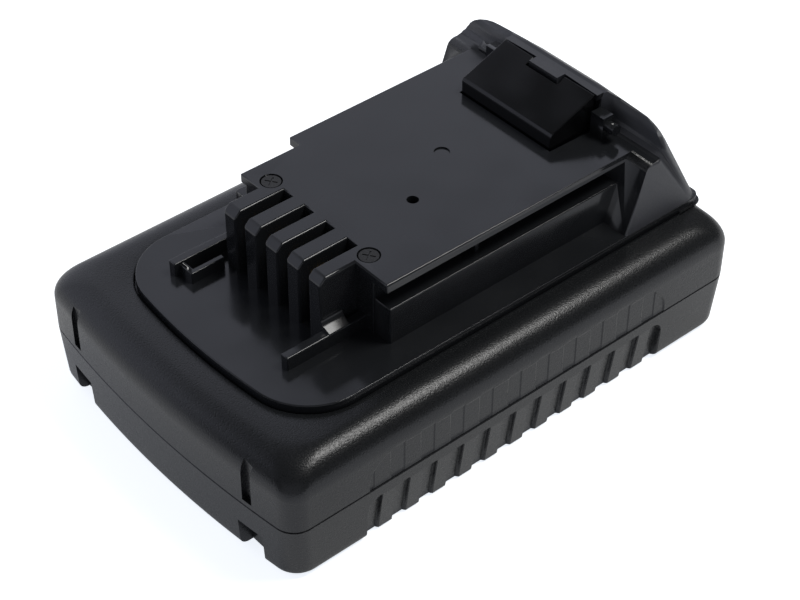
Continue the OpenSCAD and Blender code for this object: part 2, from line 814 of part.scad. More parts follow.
module contact_carrier() {
    post_top = flange_z - latch_travel - pin_l - 0.6;
    hole = thermistor_r + 0.4;
    color(frame_grey) difference() {
        union() {
            wide_slab(tray_front, tray_rear, tray_half, tray_z, tray_top);
            wide_slab(block_front, block_front + block_t, finger_half + 1, tray_z, contact_z + contact_h + 1);
            rail_screw_places() translate([0, 0, tray_z]) cylinder(r = boss_r, h = boss_top - tray_z);
            for (s = [-1, 1]) {
                translate([spring_x, s * spring_y, tray_z]) cylinder(r = post_r, h = post_top - tray_z);
                for (x = [board_front + post_inset, board_rear - post_inset])
                    translate([x, s * (board_half - post_side), tray_z])
                        cylinder(r = board_post_r, h = board_z - tray_z);
            }
        }
        contact_places() slab(block_front - 1, block_front + block_t + 1, -slot_w / 2 + 0.1, slot_w / 2 - 0.1,
            contact_z - 0.2, contact_z + contact_h + 2);
        rail_screw_places() translate([0, 0, boss_top - pilot_l])
            cylinder(d = rail_screw_d - 0.3, h = pilot_l + pilot_over);
        translate([thermistor_x, 0, tray_z - 1]) cylinder(r = hole, h = tray_t + 2);
    }
}

// Forked contact: two leaves that pinch the tool's blade, and a foot on the board
module contact(i) {
    half = slot_w / 2 - 0.25;
    tip = finger_front + tip_back;
    pinch = tip + pinch_back;
    heel = board_front + 0.6;
    pinch_half = 0.35;
    color(brass) translate([0, (i - 1 - (slot_count - 1) / 2) * slot_pitch, 0]) {
        translate([0, 0, contact_z]) linear_extrude(contact_h) {
            for (s = [-1, 1])
                polygon([
                    [heel, s * half], [pinch + leaf_run, s * half], [pinch, s * (pinch_half + contact_t)],
                    [tip, s * half], [tip, s * (half - contact_t)], [pinch, s * pinch_half],
                    [pinch + leaf_run, s * (half - contact_t)], [heel, s * (half - contact_t)]
                ]);
            translate([heel, -half]) square([contact_t, 2 * half]);
        }
        slab(heel, heel + contact_t, -half, half, board_top, contact_z + 1);
    }
}

module circuit_board() {
    color(board_green) difference() {
        wide_slab(board_front, board_rear, board_half, board_z, board_top);
        for (s = [-1, 1])
            for (x = [board_front + post_inset, board_rear - post_inset])
                translate([x, s * (board_half - post_side), board_z - 1]) cylinder(r = 1.1, h = board_t + 2);
    }
}

module power_switches() {
    w = 6.5;
    color(gloss_black)
        for (i = [-1, 1])
            translate([board_front + 13, i * 6 - w / 2, board_top]) {
                cube([9.5, w, 2.3]);
                translate([-1.6, 0.6, 0]) cube([1.8, w - 1.2, 1]);
            }
}

module board_chips() {
    color(gloss_black) {
        translate([board_front + chip_x, -chip_w / 2, board_top]) cube([chip_w, chip_w, chip_h]);
        for (i = [0:3])
            translate([board_front + 6, -7.5 + i * 4.4, board_top]) cube([2, 1.25, 0.9]);
        for (i = [-1, 1])
            translate([board_front + 35, i * 7, board_top]) cylinder(d = 4, h = 4.4);
    }
}

// Round cell lying across the pack, with a rolled groove near its positive end
module cell(i) {
    r = cell_d / 2;
    nub_r = r * 0.45;
    nub_h = 0.5;
    bead = cell_len - 3.6;
    color(wrap_blue) translate([(i - (cell_count + 1) / 2) * cell_pitch, 0, cell_z])
        rotate([i % 2 == 1 ? -90 : 90, 0, 0]) translate([0, 0, -cell_len / 2])
            rotate_extrude() polygon([
                [0, 0], [r - 0.5, 0], [r, 0.5], [r, bead], [r - 0.5, bead + 0.5], [r - 0.5, bead + 1.2],
                [r, bead + 1.7], [r, cell_len - nub_h - 0.5], [r - 0.5, cell_len - nub_h],
                [nub_r, cell_len - nub_h], [nub_r, cell_len], [0, cell_len]
            ]);
}

module cell_places() {
    for (i = [1:cell_count])
        translate([(i - (cell_count + 1) / 2) * cell_pitch, 0, cell_z]) rotate([90, 0, 0]) children();
}

// End frame: grips the cells, leaves room for straps, and fills the width of the case
module cell_holder(side) {
    inner = link_y - holder_grip;
    outer = link_y + holder_rim;
    half_l = row_l / 2 + cell_fit + 0.2;
    top = roof_z - 0.2;
    color(frame_grey) difference() {
        intersection() {
            slab(-half_l, half_l, side > 0 ? inner : -outer, side > 0 ? outer : -inner, floor_z, top);
            inner_room(case_clear);
        }
        cell_places() cylinder(r = cell_d / 2 + cell_fit, h = 4 * cell_len, center = true);
        // room for the straps and their paper
        slab(-half_l + 2, half_l - 2, side > 0 ? link_y : -outer - 1, side > 0 ? outer + 1 : -link_y,
            cell_z - strip_w, cell_z + strip_w);
        // way out for the strip of the end cell
        translate([side * tab_cell_x, 0, 0])
            slab(-strip_w / 2 - 0.6, strip_w / 2 + 0.6, side > 0 ? inner - 1 : -outer - 1,
                side > 0 ? outer + 1 : 1 - inner, cell_top - 0.1, roof_z);
        translate([side * tab_cell_x, 0, 0])
            slab(-strip_w / 2 - 0.6, strip_w / 2 + 0.6, side > 0 ? link_y : -outer - 1,
                side > 0 ? outer + 1 : -link_y, cell_z, roof_z);
    }
}
tab_cell_x = -(cell_count - 1) / 2 * cell_pitch;

// Two straps on one side, each over a pair of neighbouring cells
module cell_links(side) {
    first = side > 0 ? 2 : 1;
    reach = cell_pitch / 2 + 4.5;
    color(nickel)
        for (i = [first, first + 2]) {
            x = (i + 0.5 - (cell_count + 1) / 2) * cell_pitch;
            slab(x - reach, x + reach, side > 0 ? link_y : -link_y - strip_t,
                side > 0 ? link_y + strip_t : -link_y, cell_z - strip_w / 2, cell_z + strip_w / 2);
        }
}

// Strip from an end cell over its holder and along the row to the board
module end_tab(side) {
    x = side * tab_cell_x;
    top = sheet_z + sheet_t + 0.1;
    rise_y = tray_half + 0.8;
    board_x = side > 0 ? board_front + 3 : board_rear - 6;
    color(nickel) mirror([0, side > 0 ? 0 : 1, 0]) {
        slab(x - strip_w / 2, x + strip_w / 2, link_y, link_y + strip_t, cell_z - strip_w / 2, top + strip_t);
        slab(x - strip_w / 2, x + strip_w / 2, rise_y, link_y + strip_t, top, top + strip_t);
        slab(min(x, board_x) - (side > 0 ? strip_w / 2 : 0), max(x, board_x) + (side > 0 ? 3 : strip_w / 2),
            rise_y, rise_y + 3, top, top + strip_t);
        slab(board_x, board_x + 3, rise_y, rise_y + strip_t, top, board_top + strip_t);
        slab(board_x, board_x + 3, board_half - 2.2, rise_y + strip_t, board_top, board_top + strip_t);
    }
}

// Bead between the third and fourth cell, with two leads up to the board
thermistor_r = 1.2;
thermistor_x = cell_pitch / 2;
thermistor_z = cell_z + sqrt(pow(cell_d / 2 + thermistor_r + 0.05, 2) - pow(cell_pitch / 2, 2));
module thermistor() {
    color(gloss_black) {
        translate([thermistor_x, 0, thermistor_z]) rotate([90, 0, 0])
            cylinder(r = thermistor_r, h = bead_l, center = true);
        for (s = [-1, 1])
            translate([thermistor_x, s * 0.7, thermistor_z]) cylinder(d = 0.5, h = board_z - thermistor_z);
    }
}

module board_insulator() {
    half = link_y - holder_grip - 0.5;
    color(paper) difference() {
        wide_slab(-row_l / 2 + 3, row_l / 2 - 3, half, sheet_z, sheet_z + sheet_t);
        translate([thermistor_x, 0, sheet_z - 1]) cylinder(r = thermistor_r + 0.4, h = 3);
    }
}

// Paper over the straps, held in the rims of the holders
module end_insulators() {
    color(paper)
        for (s = [-1, 1])
            wide_paper(s);
}

module wide_paper(side) {
    y0 = link_y + strip_t + 0.05;
    half_l = row_l / 2 - 2.2;
    slab(-half_l, half_l, side > 0 ? y0 : -y0 - sheet_t, side > 0 ? y0 + sheet_t : -y0,
        cell_z - strip_w + 0.3, cell_z + strip_w - 0.3);
}

module foam_pad() {
    half = link_y - holder_grip - 0.5;
    color(foam) wide_slab(-row_l / 2 + 4, row_l / 2 - 4, half, floor_z, floor_z + pad_t - 0.05);
}

// Cross-head screw, head up, with its head's underside at the origin
module screw(shank_d, head_d, head_h, length) {
    difference() {
        union() {
            translate([0, 0, -length]) cylinder(d = shank_d, h = length + 0.1);
            cylinder(d = head_d, h = head_h);
        }
        for (a = [0, 90])
            rotate([0, 0, a]) translate([-head_d * 0.3, -head_d * 0.07, head_h * 0.4])
                cube([head_d * 0.6, head_d * 0.14, head_h]);
    }
}

module rail_screws() {
    color(steel) rail_screw_places() translate([0, 0, plate_z - 1.4])
        screw(rail_screw_d - 0.3, rail_head_d, 1, 9);
}

module case_screws() {
    color(steel) case_screw_places() translate([0, 0, case_seat_z]) rotate([180, 0, 0])
        screw(case_screw_d - 0.4, case_head_d, 1.8, case_screw_top - case_seat_z - 1);
}

lower_case();
upper_case();
rail_cover();
latch();
latch_spring(1);  // latch_spring_left
latch_spring(-1);  // latch_spring_right
contact_carrier();
contact(1);  // contact_1
contact(2);  // contact_2
contact(3);  // contact_3
contact(4);  // contact_4
circuit_board();
power_switches();
board_chips();
cell(1);  // cell_1
cell(2);  // cell_2
cell(3);  // cell_3
cell(4);  // cell_4
cell(5);  // cell_5
cell_holder(1);  // cell_holder_left
cell_holder(-1);  // cell_holder_right
cell_links(1);  // cell_links_left
cell_links(-1);  // cell_links_right
end_tab(1);  // positive_tab
end_tab(-1);  // negative_tab
thermistor();
board_insulator();
end_insulators();
foam_pad();
rail_screws();
case_screws();
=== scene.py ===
"""Visual model of a slide-on battery pack, built over its CAD frame."""

import json
import math

import bmesh
import bpy
from mathutils import Matrix, Vector


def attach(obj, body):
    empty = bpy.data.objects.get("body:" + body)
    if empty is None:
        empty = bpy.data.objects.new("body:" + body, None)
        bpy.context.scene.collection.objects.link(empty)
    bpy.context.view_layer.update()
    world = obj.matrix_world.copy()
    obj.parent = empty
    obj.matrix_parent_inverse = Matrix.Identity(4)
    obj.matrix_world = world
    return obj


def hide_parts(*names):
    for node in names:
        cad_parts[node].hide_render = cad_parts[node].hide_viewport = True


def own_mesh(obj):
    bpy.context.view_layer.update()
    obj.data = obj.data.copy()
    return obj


bl_info = {
    "name": "Slide-on battery pack",
    "version": (1, 0, 0),
    "blender": (4, 5, 0),
    "location": "3D Viewport > Sidebar > Pack",
    "description": "Builds the visual model of a slide-on battery pack over its CAD frame",
    "category": "Object",
}

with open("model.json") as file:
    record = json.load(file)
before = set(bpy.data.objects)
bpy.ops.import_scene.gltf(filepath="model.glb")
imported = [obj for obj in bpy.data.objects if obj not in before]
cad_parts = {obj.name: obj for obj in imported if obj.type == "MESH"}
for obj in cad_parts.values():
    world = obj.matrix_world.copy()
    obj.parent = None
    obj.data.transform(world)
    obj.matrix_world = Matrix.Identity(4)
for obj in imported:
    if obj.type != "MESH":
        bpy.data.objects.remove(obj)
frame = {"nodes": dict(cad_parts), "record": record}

MM = 0.001
PACK = "pack"
SLIDER = "latch_slider"

# Fineness of the meshes: segments of rounds, and rows of points on the walls
ROD_SIDES = 48
BOW_STEPS = 14
CORNER_STEPS = 12
FOOT_STEPS = 8
EDGE_STEPS = 16
SMALL_STEPS = 4
GRIP_STEPS = 6
PANEL_STEPS = 16
WALL_ROWS = 6
ROW_HEIGHT = 0.15
FADE = 0.3  # millimetres over which grooves, ribs and panels run out
TINY = 1e-6  # millimetres, to tell points on the long sides
WELD = 2e-6  # metres within which doubled vertices of a CAD node are merged
FLAT_ANGLE = 0.6  # degrees below which neighbouring facets of a CAD node are joined
ROUND_ANGLE = 35  # degrees above which a convex edge can be rounded
CREASE = 32  # degrees above which an edge is shaded sharp, and the same for wire and screws
WIRE_CREASE = 60
SCREW_CREASE = 25

# Small shapes of the case, in millimetres
CORNER_SHARE = 0.5  # part of an inset that is added to the radius of the upright corners
TOWER_CORNER = 2.0
TOWER_BOW = 0.4
LEAST_CORNER = 0.3
FLOOR_BEVEL = 0.4
LAST_ROW = 1.2  # from the last row of points up to the lower case's seam
INSIDE_FOOT = 1.0  # height in the floor at which bosses and notch walls start
NOTCH_WALL = 3.6  # from the front end to the start of the notch walls
OVERCUT = 1.0  # how far cutters stand out of what they cut
OVERLAP = 0.1  # how far cutters reach into each other, and bosses end below the parting line
BOSS_RADIUS = 3.1
HEAD_HOLE_RADIUS = 2.9
HEAD_HOLE_DEPTH = 4.0
SHANK_HOLE_RADIUS = 1.7
STRIPES_EACH_WAY = 5
STRIPE_DROP = 0.25  # how much lower the panel ends at a stripe
PANEL_FOOT = 0.8  # height over which the panel deepens above the parting line
PANEL_FOOT_SHARE = 0.35  # part of the panel's depth at the parting line
FRONT_GROOVE_DEPTH = 0.9
FRONT_GROOVE_HALF = 1.2
FRONT_GROOVE_START = 1.2
FRONT_GROOVE_OVERCUT = 5.0

# Places on the CAD rail cover and latch that tell their faces and edges apart, in millimetres
TOWER_X = 34.0
FLANK_Y = 24.0
BACK_X = 43.5
CROWN_Z = 49.8
SCOOP_X = 42.8
SCOOP_Z = 42.8
SHELF_X = 42.2
SHELF_LOW_Z = 41.2
SHELF_Y = 23.0
FINGERS_X = -22.0
FINGERS_RISE = 3.0  # above the deck, as the next one
PLATE_RISE = 9.0
LONG_EDGE = 6.0
SHORT_EDGE = 2.0
PAD_X = 50.0
SHARP_BELOW = 3  # edges shorter than this many edge breaks stay sharp
# Parts of a normal: facing forwards, facing straight along an axis, and hardly facing sideways
FORWARDS = -0.6
STRAIGHT = 0.9
HARDLY = 0.3
# Crown of the lip behind the latch: its half width, its flat middle, and how it is lifted
LIP_HALF = 13.3
LIP_FLAT = 8.0
LIP_RISE = 0.33
LIP_FALL = 0.055
LIP_FIND = 0.02

# Springs and screws, in millimetres
SPRING_SPARE = 0.1
CASE_SCREWS = [(x, y) for x in (-49.9, 49.9) for y in (-18.0, 18.0)]
CASE_SCREW_Z = 3.98
RAIL_SCREWS = [(-18.2, y) for y in (-14.445, 14.445)]
RAIL_SCREW_Z = 41.32
HEAD_TAPER = 0.94
HEAD_SIDES = 48
SHANK_SIDES = 24
CROSS_REACH = 1.25  # length of the cross in head radii

# Looks: noise that counts as dark and as light, and the cool tint of the plastics' reflections
NOISE_LOW = 0.3
NOISE_HIGH = 0.7
GLEAM = (0.9, 0.92, 1.0)
# Sockets of a colour mix, which go by number because their names are not unique
MIX_DARK = 6
MIX_LIGHT = 7
MIX_RESULT = 2

# Studio, in metres, with the camera as it was fitted to the photo
FLOOR_SIZE = 4.0
FLOOR_DROP = 0.0002
PAPER_CLOUDS_MM = 300
PAPER_TONE = 0.01
CAMERA_LIFT = 0.9  # glow of the floor for the camera, and for reflections
GLOSSY_LIFT = 0.35
DIM_WORLD = 0.1
CAMERA_PLACE = (-0.19585, -0.22777, 0.27317)
CAMERA_BACK = (-0.4948, -0.5699, 0.6560)
CAMERA_ROLL = 0.429
CAMERA_LENS = 89.34
SENSOR_WIDTH = 36.0
CAMERA_RANGE = (0.01, 10.0)
PACK_MIDDLE = (0.0, 0.0, 0.03)
# Each soft box has a name, a place, an aim, a width and height, a power in watts and a colour:
# a narrow warm one above the right side, a wide bluish wall behind under a dark ceiling, and a weak fill
LIGHTS = (
    ("key box", (0.364, -0.265, 0.825), PACK_MIDDLE, (0.32, 0.32), 3.4, (1.0, 0.97, 0.88)),
    ("back wall", (0.0, 1.2, 0.79), (0.0, 0.0, 0.79), (3.8, 1.58), 13.2, (0.87, 0.89, 1.0)),
    ("front fill", (-1.0, -0.9, 0.55), PACK_MIDDLE, (1.8, 1.0), 1.2, (0.95, 0.95, 1.0)),
)


# Sizes and colours that the panel shows

def length(name, millimetres, description):
    """A length property whose default is given in millimetres."""
    return bpy.props.FloatProperty(
        name=name, description=description, default=millimetres * MM, subtype="DISTANCE", unit="LENGTH"
    )


def colour(name, code, description):
    """A colour property whose default is given as an sRGB code."""
    return bpy.props.FloatVectorProperty(
        name=name, description=description, default=linear(code), size=3, min=0.0, max=1.0, subtype="COLOR"
    )


def linear(code):
    """Scene-linear red, green and blue of an sRGB code such as 2b2d30."""
    parts = [int(code[i:i + 2], 16) / 255 for i in (0, 2, 4)]
    return tuple(c / 12.92 if c <= 0.04045 else ((c + 0.055) / 1.055) ** 2.4 for c in parts)


class PackSizes(bpy.types.PropertyGroup):
    """Lengths of the visible shells: the CAD's own, but for a narrower gap, and stripes and rounds added"""

    front: length("Front end", -58.5, "X of the middle of the terminal end")
    rear: length("Rear end", 58.5, "X of the middle of the latch end")
    half: length("Half width", 38.25, "Half of the case's width")
    corner: length("Corner radius", 4.5, "Radius of the upright corners of the case")
    front_bow: length("Front bow", 2.8, "How far the terminal end bows out")
    rear_bow: length("Rear bow", 1.2, "How far the latch end bows out")
    wall: length("Wall", 2.2, "Wall thickness of the case")
    parting: length("Parting height", 13.0, "Height of the line between the case halves")
    draft: length("Draft", 0.7, "How far the lower case draws in towards the foot")
    foot: length("Foot radius", 1.8, "Round along the bottom edge")
    edge: length("Edge radius", 6.0, "Round along the upper edge")
    inner_round: length("Inner round", 2.0, "Round inside the upper edge")
    shoulder: length("Shoulder height", 26.7, "Height of the flat shoulder around the deck")
    roof: length("Roof height", 23.7, "Underside of the upper case's roof")
    seat: length("Seat height", 25.7, "Bottom of the recess that the deck lies in")
    seat_lip: length("Seat lip", 2.4, "Width of the ledge under the deck's edge")
    gap: length("Deck gap", 0.25, "Gap between the deck and the shoulder")
    lip: length("Lip radius", 0.4, "Round along the inner edge of the shoulder")
    seam: length("Seam", 0.22, "Edge break on both sides of the parting line")
    deck_top: length("Deck height", 28.2, "Height of the deck around the platform")
    deck_front: length("Deck front", -47.8, "X of the deck's front edge")
    deck_rear: length("Deck rear", 56.5, "X of the tower's rear foot")
    deck_half: length("Deck half width", 29.25, "Half of the deck's width")
    tower_front: length("Tower front", 34.3, "X of the tower's front foot")
    lip_top: length("Lip height", 50.3, "Height of the lip behind the latch")
    cove_side: length("Cove side", 14.6, "Distance from the middle to the cove beside the right finger")
    deck_corner: length("Deck corner", 13.0, "Radius of the deck's front corners")
    zone: length("Grip half length", 38.175, "Half of the length of the grip zone")
    zone_top: length("Grip top", 10.2, "Height where the grip zone runs out")
    zone_corner: length("Grip corner", 2.8, "Round of the grip zone's upper corners")
    zone_depth: length("Rib depth", 0.8, "How far the ribs lie back at the foot")
    groove_depth: length("Groove depth", 1.6, "How far the grooves lie back at the foot")
    groove_width: length("Groove width", 3.2, "Width of a grip groove")
    groove_pitch: length("Groove pitch", 6.65, "Distance between grip grooves")
    panel_depth: length("Panel depth", 0.4, "Depth of the panel on the upper case's sides")
    panel_height: length("Panel height", 7.6, "Height of that panel above the parting line")
    panel_corner: length("Panel corner", 6.4, "Round of the panel's upper corners")
    stripe_pitch: length("Stripe pitch", 7.2, "Distance between the flat stripes on the panel")
    stripe_width: length("Stripe width", 3.9, "Width of a flat stripe")
    stripe_rise: length("Stripe rise", 0.14, "How far the stripes stand out of the panel")
    stripe_shift: length("Stripe shift", 1.1, "Distance of the middle stripe from the middle")
    notch_place: length("Notch place", 26.8, "Distance of the front notches from the middle")
    notch_width: length("Notch width", 6.4, "Width of a front notch")
    notch_height: length("Notch height", 7.2, "Height of a front notch")
    notch_run: length("Notch depth", 4.6, "Depth of a front notch")
    edge_break: length("Edge break", 0.25, "Round on the edges of the rail cover and the latch")
    finger_round: length("Finger round", 0.5, "Round on the front edges of the fingers and rails")
    latch_travel: length("Latch travel", 5.0, "How far the latch can be pressed")
    grooves: bpy.props.IntProperty(name="Grooves", description="Grip grooves on each side", default=12, min=2)


class PackColours(bpy.types.PropertyGroup):
    """Colours of the materials"""

    case: colour("Case", "1c1e21", "Satin shells of the case")
    cover: colour("Cover", "24262a", "Glossy rail cover")
    # painted light: the tower's colour is the case's plastic painted lighter
    tower: colour("Tower", "404249", "Satin outside of the tower")
    latch: colour("Latch", "0b0c0e", "Glossy latch")
    screw: colour("Screw", "1d1e20", "Blackened screws")
    brass: colour("Contacts", "b99a55", "Stamped contacts")
    nickel: colour("Strips", "b9b6ad", "Nickel strips")
    steel: colour("Springs", "8d9094", "Spring wire")
    sleeve: colour("Cells", "2f5f9c", "Shrink sleeves of the cells")
    frames: colour("Frames", "4a4c50", "Cell frames and contact carrier")
    board: colour("Board", "1f5a3a", "Solder mask")
    chips: colour("Chips", "202124", "Moulded packages")
    paper: colour("Paper", "c9c2a5", "Insulating paper")
    foam: colour("Foam", "3c3c3e", "Foam pad")
    floor: colour("Floor", "f4f4f4", "Studio floor")


class Millimetres:
    """Reads the lengths of a property group in millimetres."""

    def __init__(self, group):
        self.group = group

    def __getattr__(self, name):
        value = getattr(self.group, name)
        return value / MM if isinstance(value, float) else value


# Mesh helpers, which work in millimetres

def object_from(name, bm):
    """A new object in the scene from a mesh in millimetres."""
    bmesh.ops.recalc_face_normals(bm, faces=bm.faces)
    bmesh.ops.scale(bm, vec=(MM, MM, MM), verts=bm.verts)
    mesh = bpy.data.meshes.new(name)
    bm.to_mesh(mesh)
    bm.free()
    thing = bpy.data.objects.new(name, mesh)
    bpy.context.scene.collection.objects.link(thing)
    return thing


def finish_piece(name, bm, finishes, body, smooth=30.0):
    """Turns a mesh in millimetres into a shown piece that rides on a body."""
    piece = object_from(name, bm)
    for finish in finishes:
        piece.data.materials.append(finish)
    shade(piece.data, smooth)
    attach(piece, body)
    return piece


def shade(mesh, angle):
    """Smooth shading with sharp edges above an angle in degrees."""
    mesh.shade_smooth()
    mesh.set_sharp_from_angle(angle=math.radians(angle))


def bake(piece):
    """Turns a piece's modifiers into its plain mesh."""
    graph = bpy.context.evaluated_depsgraph_get()
    graph.update()
    mesh = bpy.data.meshes.new_from_object(piece.evaluated_get(graph))
    old = piece.data
    piece.modifiers.clear()
    piece.data = mesh
    mesh.name = piece.name
    bpy.data.meshes.remove(old)


def combine(piece, bm, operation):
    """Cuts or joins a mesh in millimetres with a piece."""
    tool = object_from("tool", bm)
    mesh = tool.data
    change = piece.modifiers.new("combine", "BOOLEAN")
    change.operation = operation
    change.object = tool
    change.solver = "EXACT"
    bake(piece)
    bpy.data.objects.remove(tool)
    bpy.data.meshes.remove(mesh)


def cad_mesh(node, flat_angle=None):
    """A CAD node's mesh in millimetres, welded; facets that meet below flat_angle degrees are joined."""
    bm = bmesh.new()
    bm.from_mesh(frame["nodes"][node].data)
    bmesh.ops.remove_doubles(bm, verts=bm.verts, dist=WELD)
    if flat_angle:
        bmesh.ops.dissolve_limit(
            bm, angle_limit=math.radians(flat_angle), verts=bm.verts, edges=bm.edges
        )
    bmesh.ops.scale(bm, vec=(1 / MM,) * 3, verts=bm.verts)
    return bm


def ring(bm, points, z):
    """New vertices along an outline at one height."""
    return [bm.verts.new((x, y, z)) for x, y in points]


def skin(bm, lower, upper):
    """Faces between two closed rings of equal count."""
    n = len(lower)
    for i in range(n):
        j = (i + 1) % n
        bm.faces.new((lower[i], lower[j], upper[j], upper[i]))


def loft(bm, rings):
    """Faces between each ring and the next."""
    for lower, upper in zip(rings, rings[1:]):
        skin(bm, lower, upper)


def fill_between(bm, outer, inner):
    """A flat face area between two closed rings at one height."""
    edges = []
    for loop in (outer, inner):
        for a, b in zip(loop, loop[1:] + loop[:1]):
            edges.append(bm.edges.get((a, b)) or bm.edges.new((a, b)))
    bmesh.ops.triangle_fill(bm, use_beauty=True, edges=edges)


def slab(bm, x0, x1, y0, y1, z0, z1):
    """A box between two corners."""
    place = Matrix.Translation(((x0 + x1) / 2, (y0 + y1) / 2, (z0 + z1) / 2))
    size = Matrix.Diagonal((x1 - x0, y1 - y0, z1 - z0, 1.0))
    bmesh.ops.create_cube(bm, size=1.0, matrix=place @ size)


def rod(bm, x, y, z0, z1, radius):
    """An upright cylinder."""
    bmesh.ops.create_cone(
        bm, cap_ends=True, segments=ROD_SIDES, radius1=radius, radius2=radius, depth=z1 - z0,
        matrix=Matrix.Translation((x, y, (z0 + z1) / 2)),
    )


def quarter(half, radius, bow):
    """Quarter of a bowed end with a round corner, measured inwards from the end's middle."""
    turn = math.atan(2 * bow * (half - radius) / half ** 2)
    y_end = half - radius * (1 - math.sin(turn))
    centre = bow * (y_end / half) ** 2 + radius * math.cos(turn)
    points = []
    for i in range(BOW_STEPS):
        y = y_end * i / BOW_STEPS
        points.append((bow * (y / half) ** 2, y))
    for i in range(CORNER_STEPS + 1):
        t = turn + (math.pi / 2 - turn) * i / CORNER_STEPS
        points.append((centre - radius * math.cos(t), half - radius + radius * math.sin(t)))
    return points


def bowed_plan(x0, x1, half, r0, r1, bow0, bow1, stations=()):
    """Closed outline with bowed ends; stations are extra points along both long sides."""
    right = [(x0 + dx, -y) for dx, y in quarter(half, r0, bow0)]
    right += [(x, -half) for x in stations]
    right += [(x1 - dx, -y) for dx, y in reversed(quarter(half, r1, bow1))]
    left = [(x, -y) for x, y in reversed(right)]
    return right + left[1:-1]


def case_plan(s, inset, stations):
    """Outline of the case, drawn in from its largest size."""
    r = s.corner + CORNER_SHARE * inset
    return bowed_plan(
        s.front + inset, s.rear - inset, s.half - inset, r, r, s.front_bow, s.rear_bow, stations
    )


def deck_plan(s, margin):
    """Outline of the deck and the tower's foot, moved out by a margin."""
    return bowed_plan(
        s.deck_front - margin, s.deck_rear + margin, s.deck_half + margin,
        s.deck_corner + margin, max(TOWER_CORNER + margin, LEAST_CORNER), s.front_bow, TOWER_BOW,
    )


def soft_step(value):
    """Eases from 0 to 1."""
    t = min(max(value, 0.0), 1.0)
    return t * t * (3 - 2 * t)


def stations_at(edges):
    """Places along the long sides, a few on both sides of each edge, so that it can run out softly."""
    spots = [k * FADE / 4 for k in range(-3, 4)]
    return sorted({round(edge + spot, 3) for edge in edges for spot in spots})


def quarter_turn(steps, first=0):
    """Angles in equal steps up to a right angle."""
    return [math.pi / 2 * i / steps for i in range(first, steps + 1)]


# Material helpers

def add(tree, kind, inputs=None, **settings):
    """Adds a node with its settings, and fills or links its inputs by name."""
    node = tree.nodes.new(kind)
    for key, value in settings.items():
        setattr(node, key, value)
    for key, value in (inputs or {}).items():
        if isinstance(value, bpy.types.NodeSocket):
            tree.links.new(value, node.inputs[key])
        else:
            node.inputs[key].default_value = value
    return node


def grain(tree, size_mm, detail=2.0, stretch=None):
    """Noise whose features are about one size across, in the piece's own coordinates."""
    place = add(tree, "ShaderNodeTexCoord").outputs["Object"]
    if stretch:
        place = add(tree, "ShaderNodeMapping", {"Vector": place, "Scale": stretch}).outputs["Vector"]
    noise = add(tree, "ShaderNodeTexNoise", {"Vector": place, "Scale": 1 / (size_mm * MM), "Detail": detail})
    return noise.outputs["Fac"]


def spread(tree, value, low, high):
    """Maps noise to a range of values."""
    node = add(
        tree, "ShaderNodeMapRange",
        {"Value": value, "From Min": NOISE_LOW, "From Max": NOISE_HIGH, "To Min": low, "To Max": high},
    )
    return node.outputs["Result"]


def tint(tree, value, rgb, low, high):
    """A colour that varies in lightness with noise."""
    node = add(tree, "ShaderNodeMix", {"Factor": spread(tree, value, 0.0, 1.0)}, data_type="RGBA")
    node.inputs[MIX_DARK].default_value = (*[c * low for c in rgb], 1.0)
    node.inputs[MIX_LIGHT].default_value = (*[c * high for c in rgb], 1.0)
    return node.outputs[MIX_RESULT]


def surface(name, rgb, rough, tone, patch_mm, bump_mm, depth_mm, bump, metal=0.0, stretch=None, level=0.5):
    """One procedural material: patches of tone, and a fine relief that also varies the gloss."""
    material = bpy.data.materials.new(name)
    material.use_nodes = True
    tree = material.node_tree
    shader = tree.nodes["Principled BSDF"]
    patches = grain(tree, patch_mm)
    fine = grain(tree, bump_mm, detail=0.0, stretch=stretch)
    relief = add(tree, "ShaderNodeBump", {"Strength": bump, "Distance": depth_mm * MM, "Height": fine})
    tree.links.new(tint(tree, patches, rgb, 1 - tone, 1 + tone), shader.inputs["Base Color"])
    tree.links.new(spread(tree, fine, *rough), shader.inputs["Roughness"])
    tree.links.new(relief.outputs["Normal"], shader.inputs["Normal"])
    shader.inputs["Metallic"].default_value = metal
    shader.inputs["Specular IOR Level"].default_value = level
    gleam = (1.0, 1.0, 1.0) if metal else GLEAM
    shader.inputs["Specular Tint"].default_value = (*gleam, 1.0)
    return material


def materials(context):
    """All materials by name, made on first use."""
    found = {m.name: m for m in bpy.data.materials if m.name in MATERIALS}
    if len(found) < len(MATERIALS):
        colours = context.scene.pack_colours
        for name, (paint, settings) in MATERIALS.items():
            found[name] = surface(name, getattr(colours, paint), **settings)
    return found


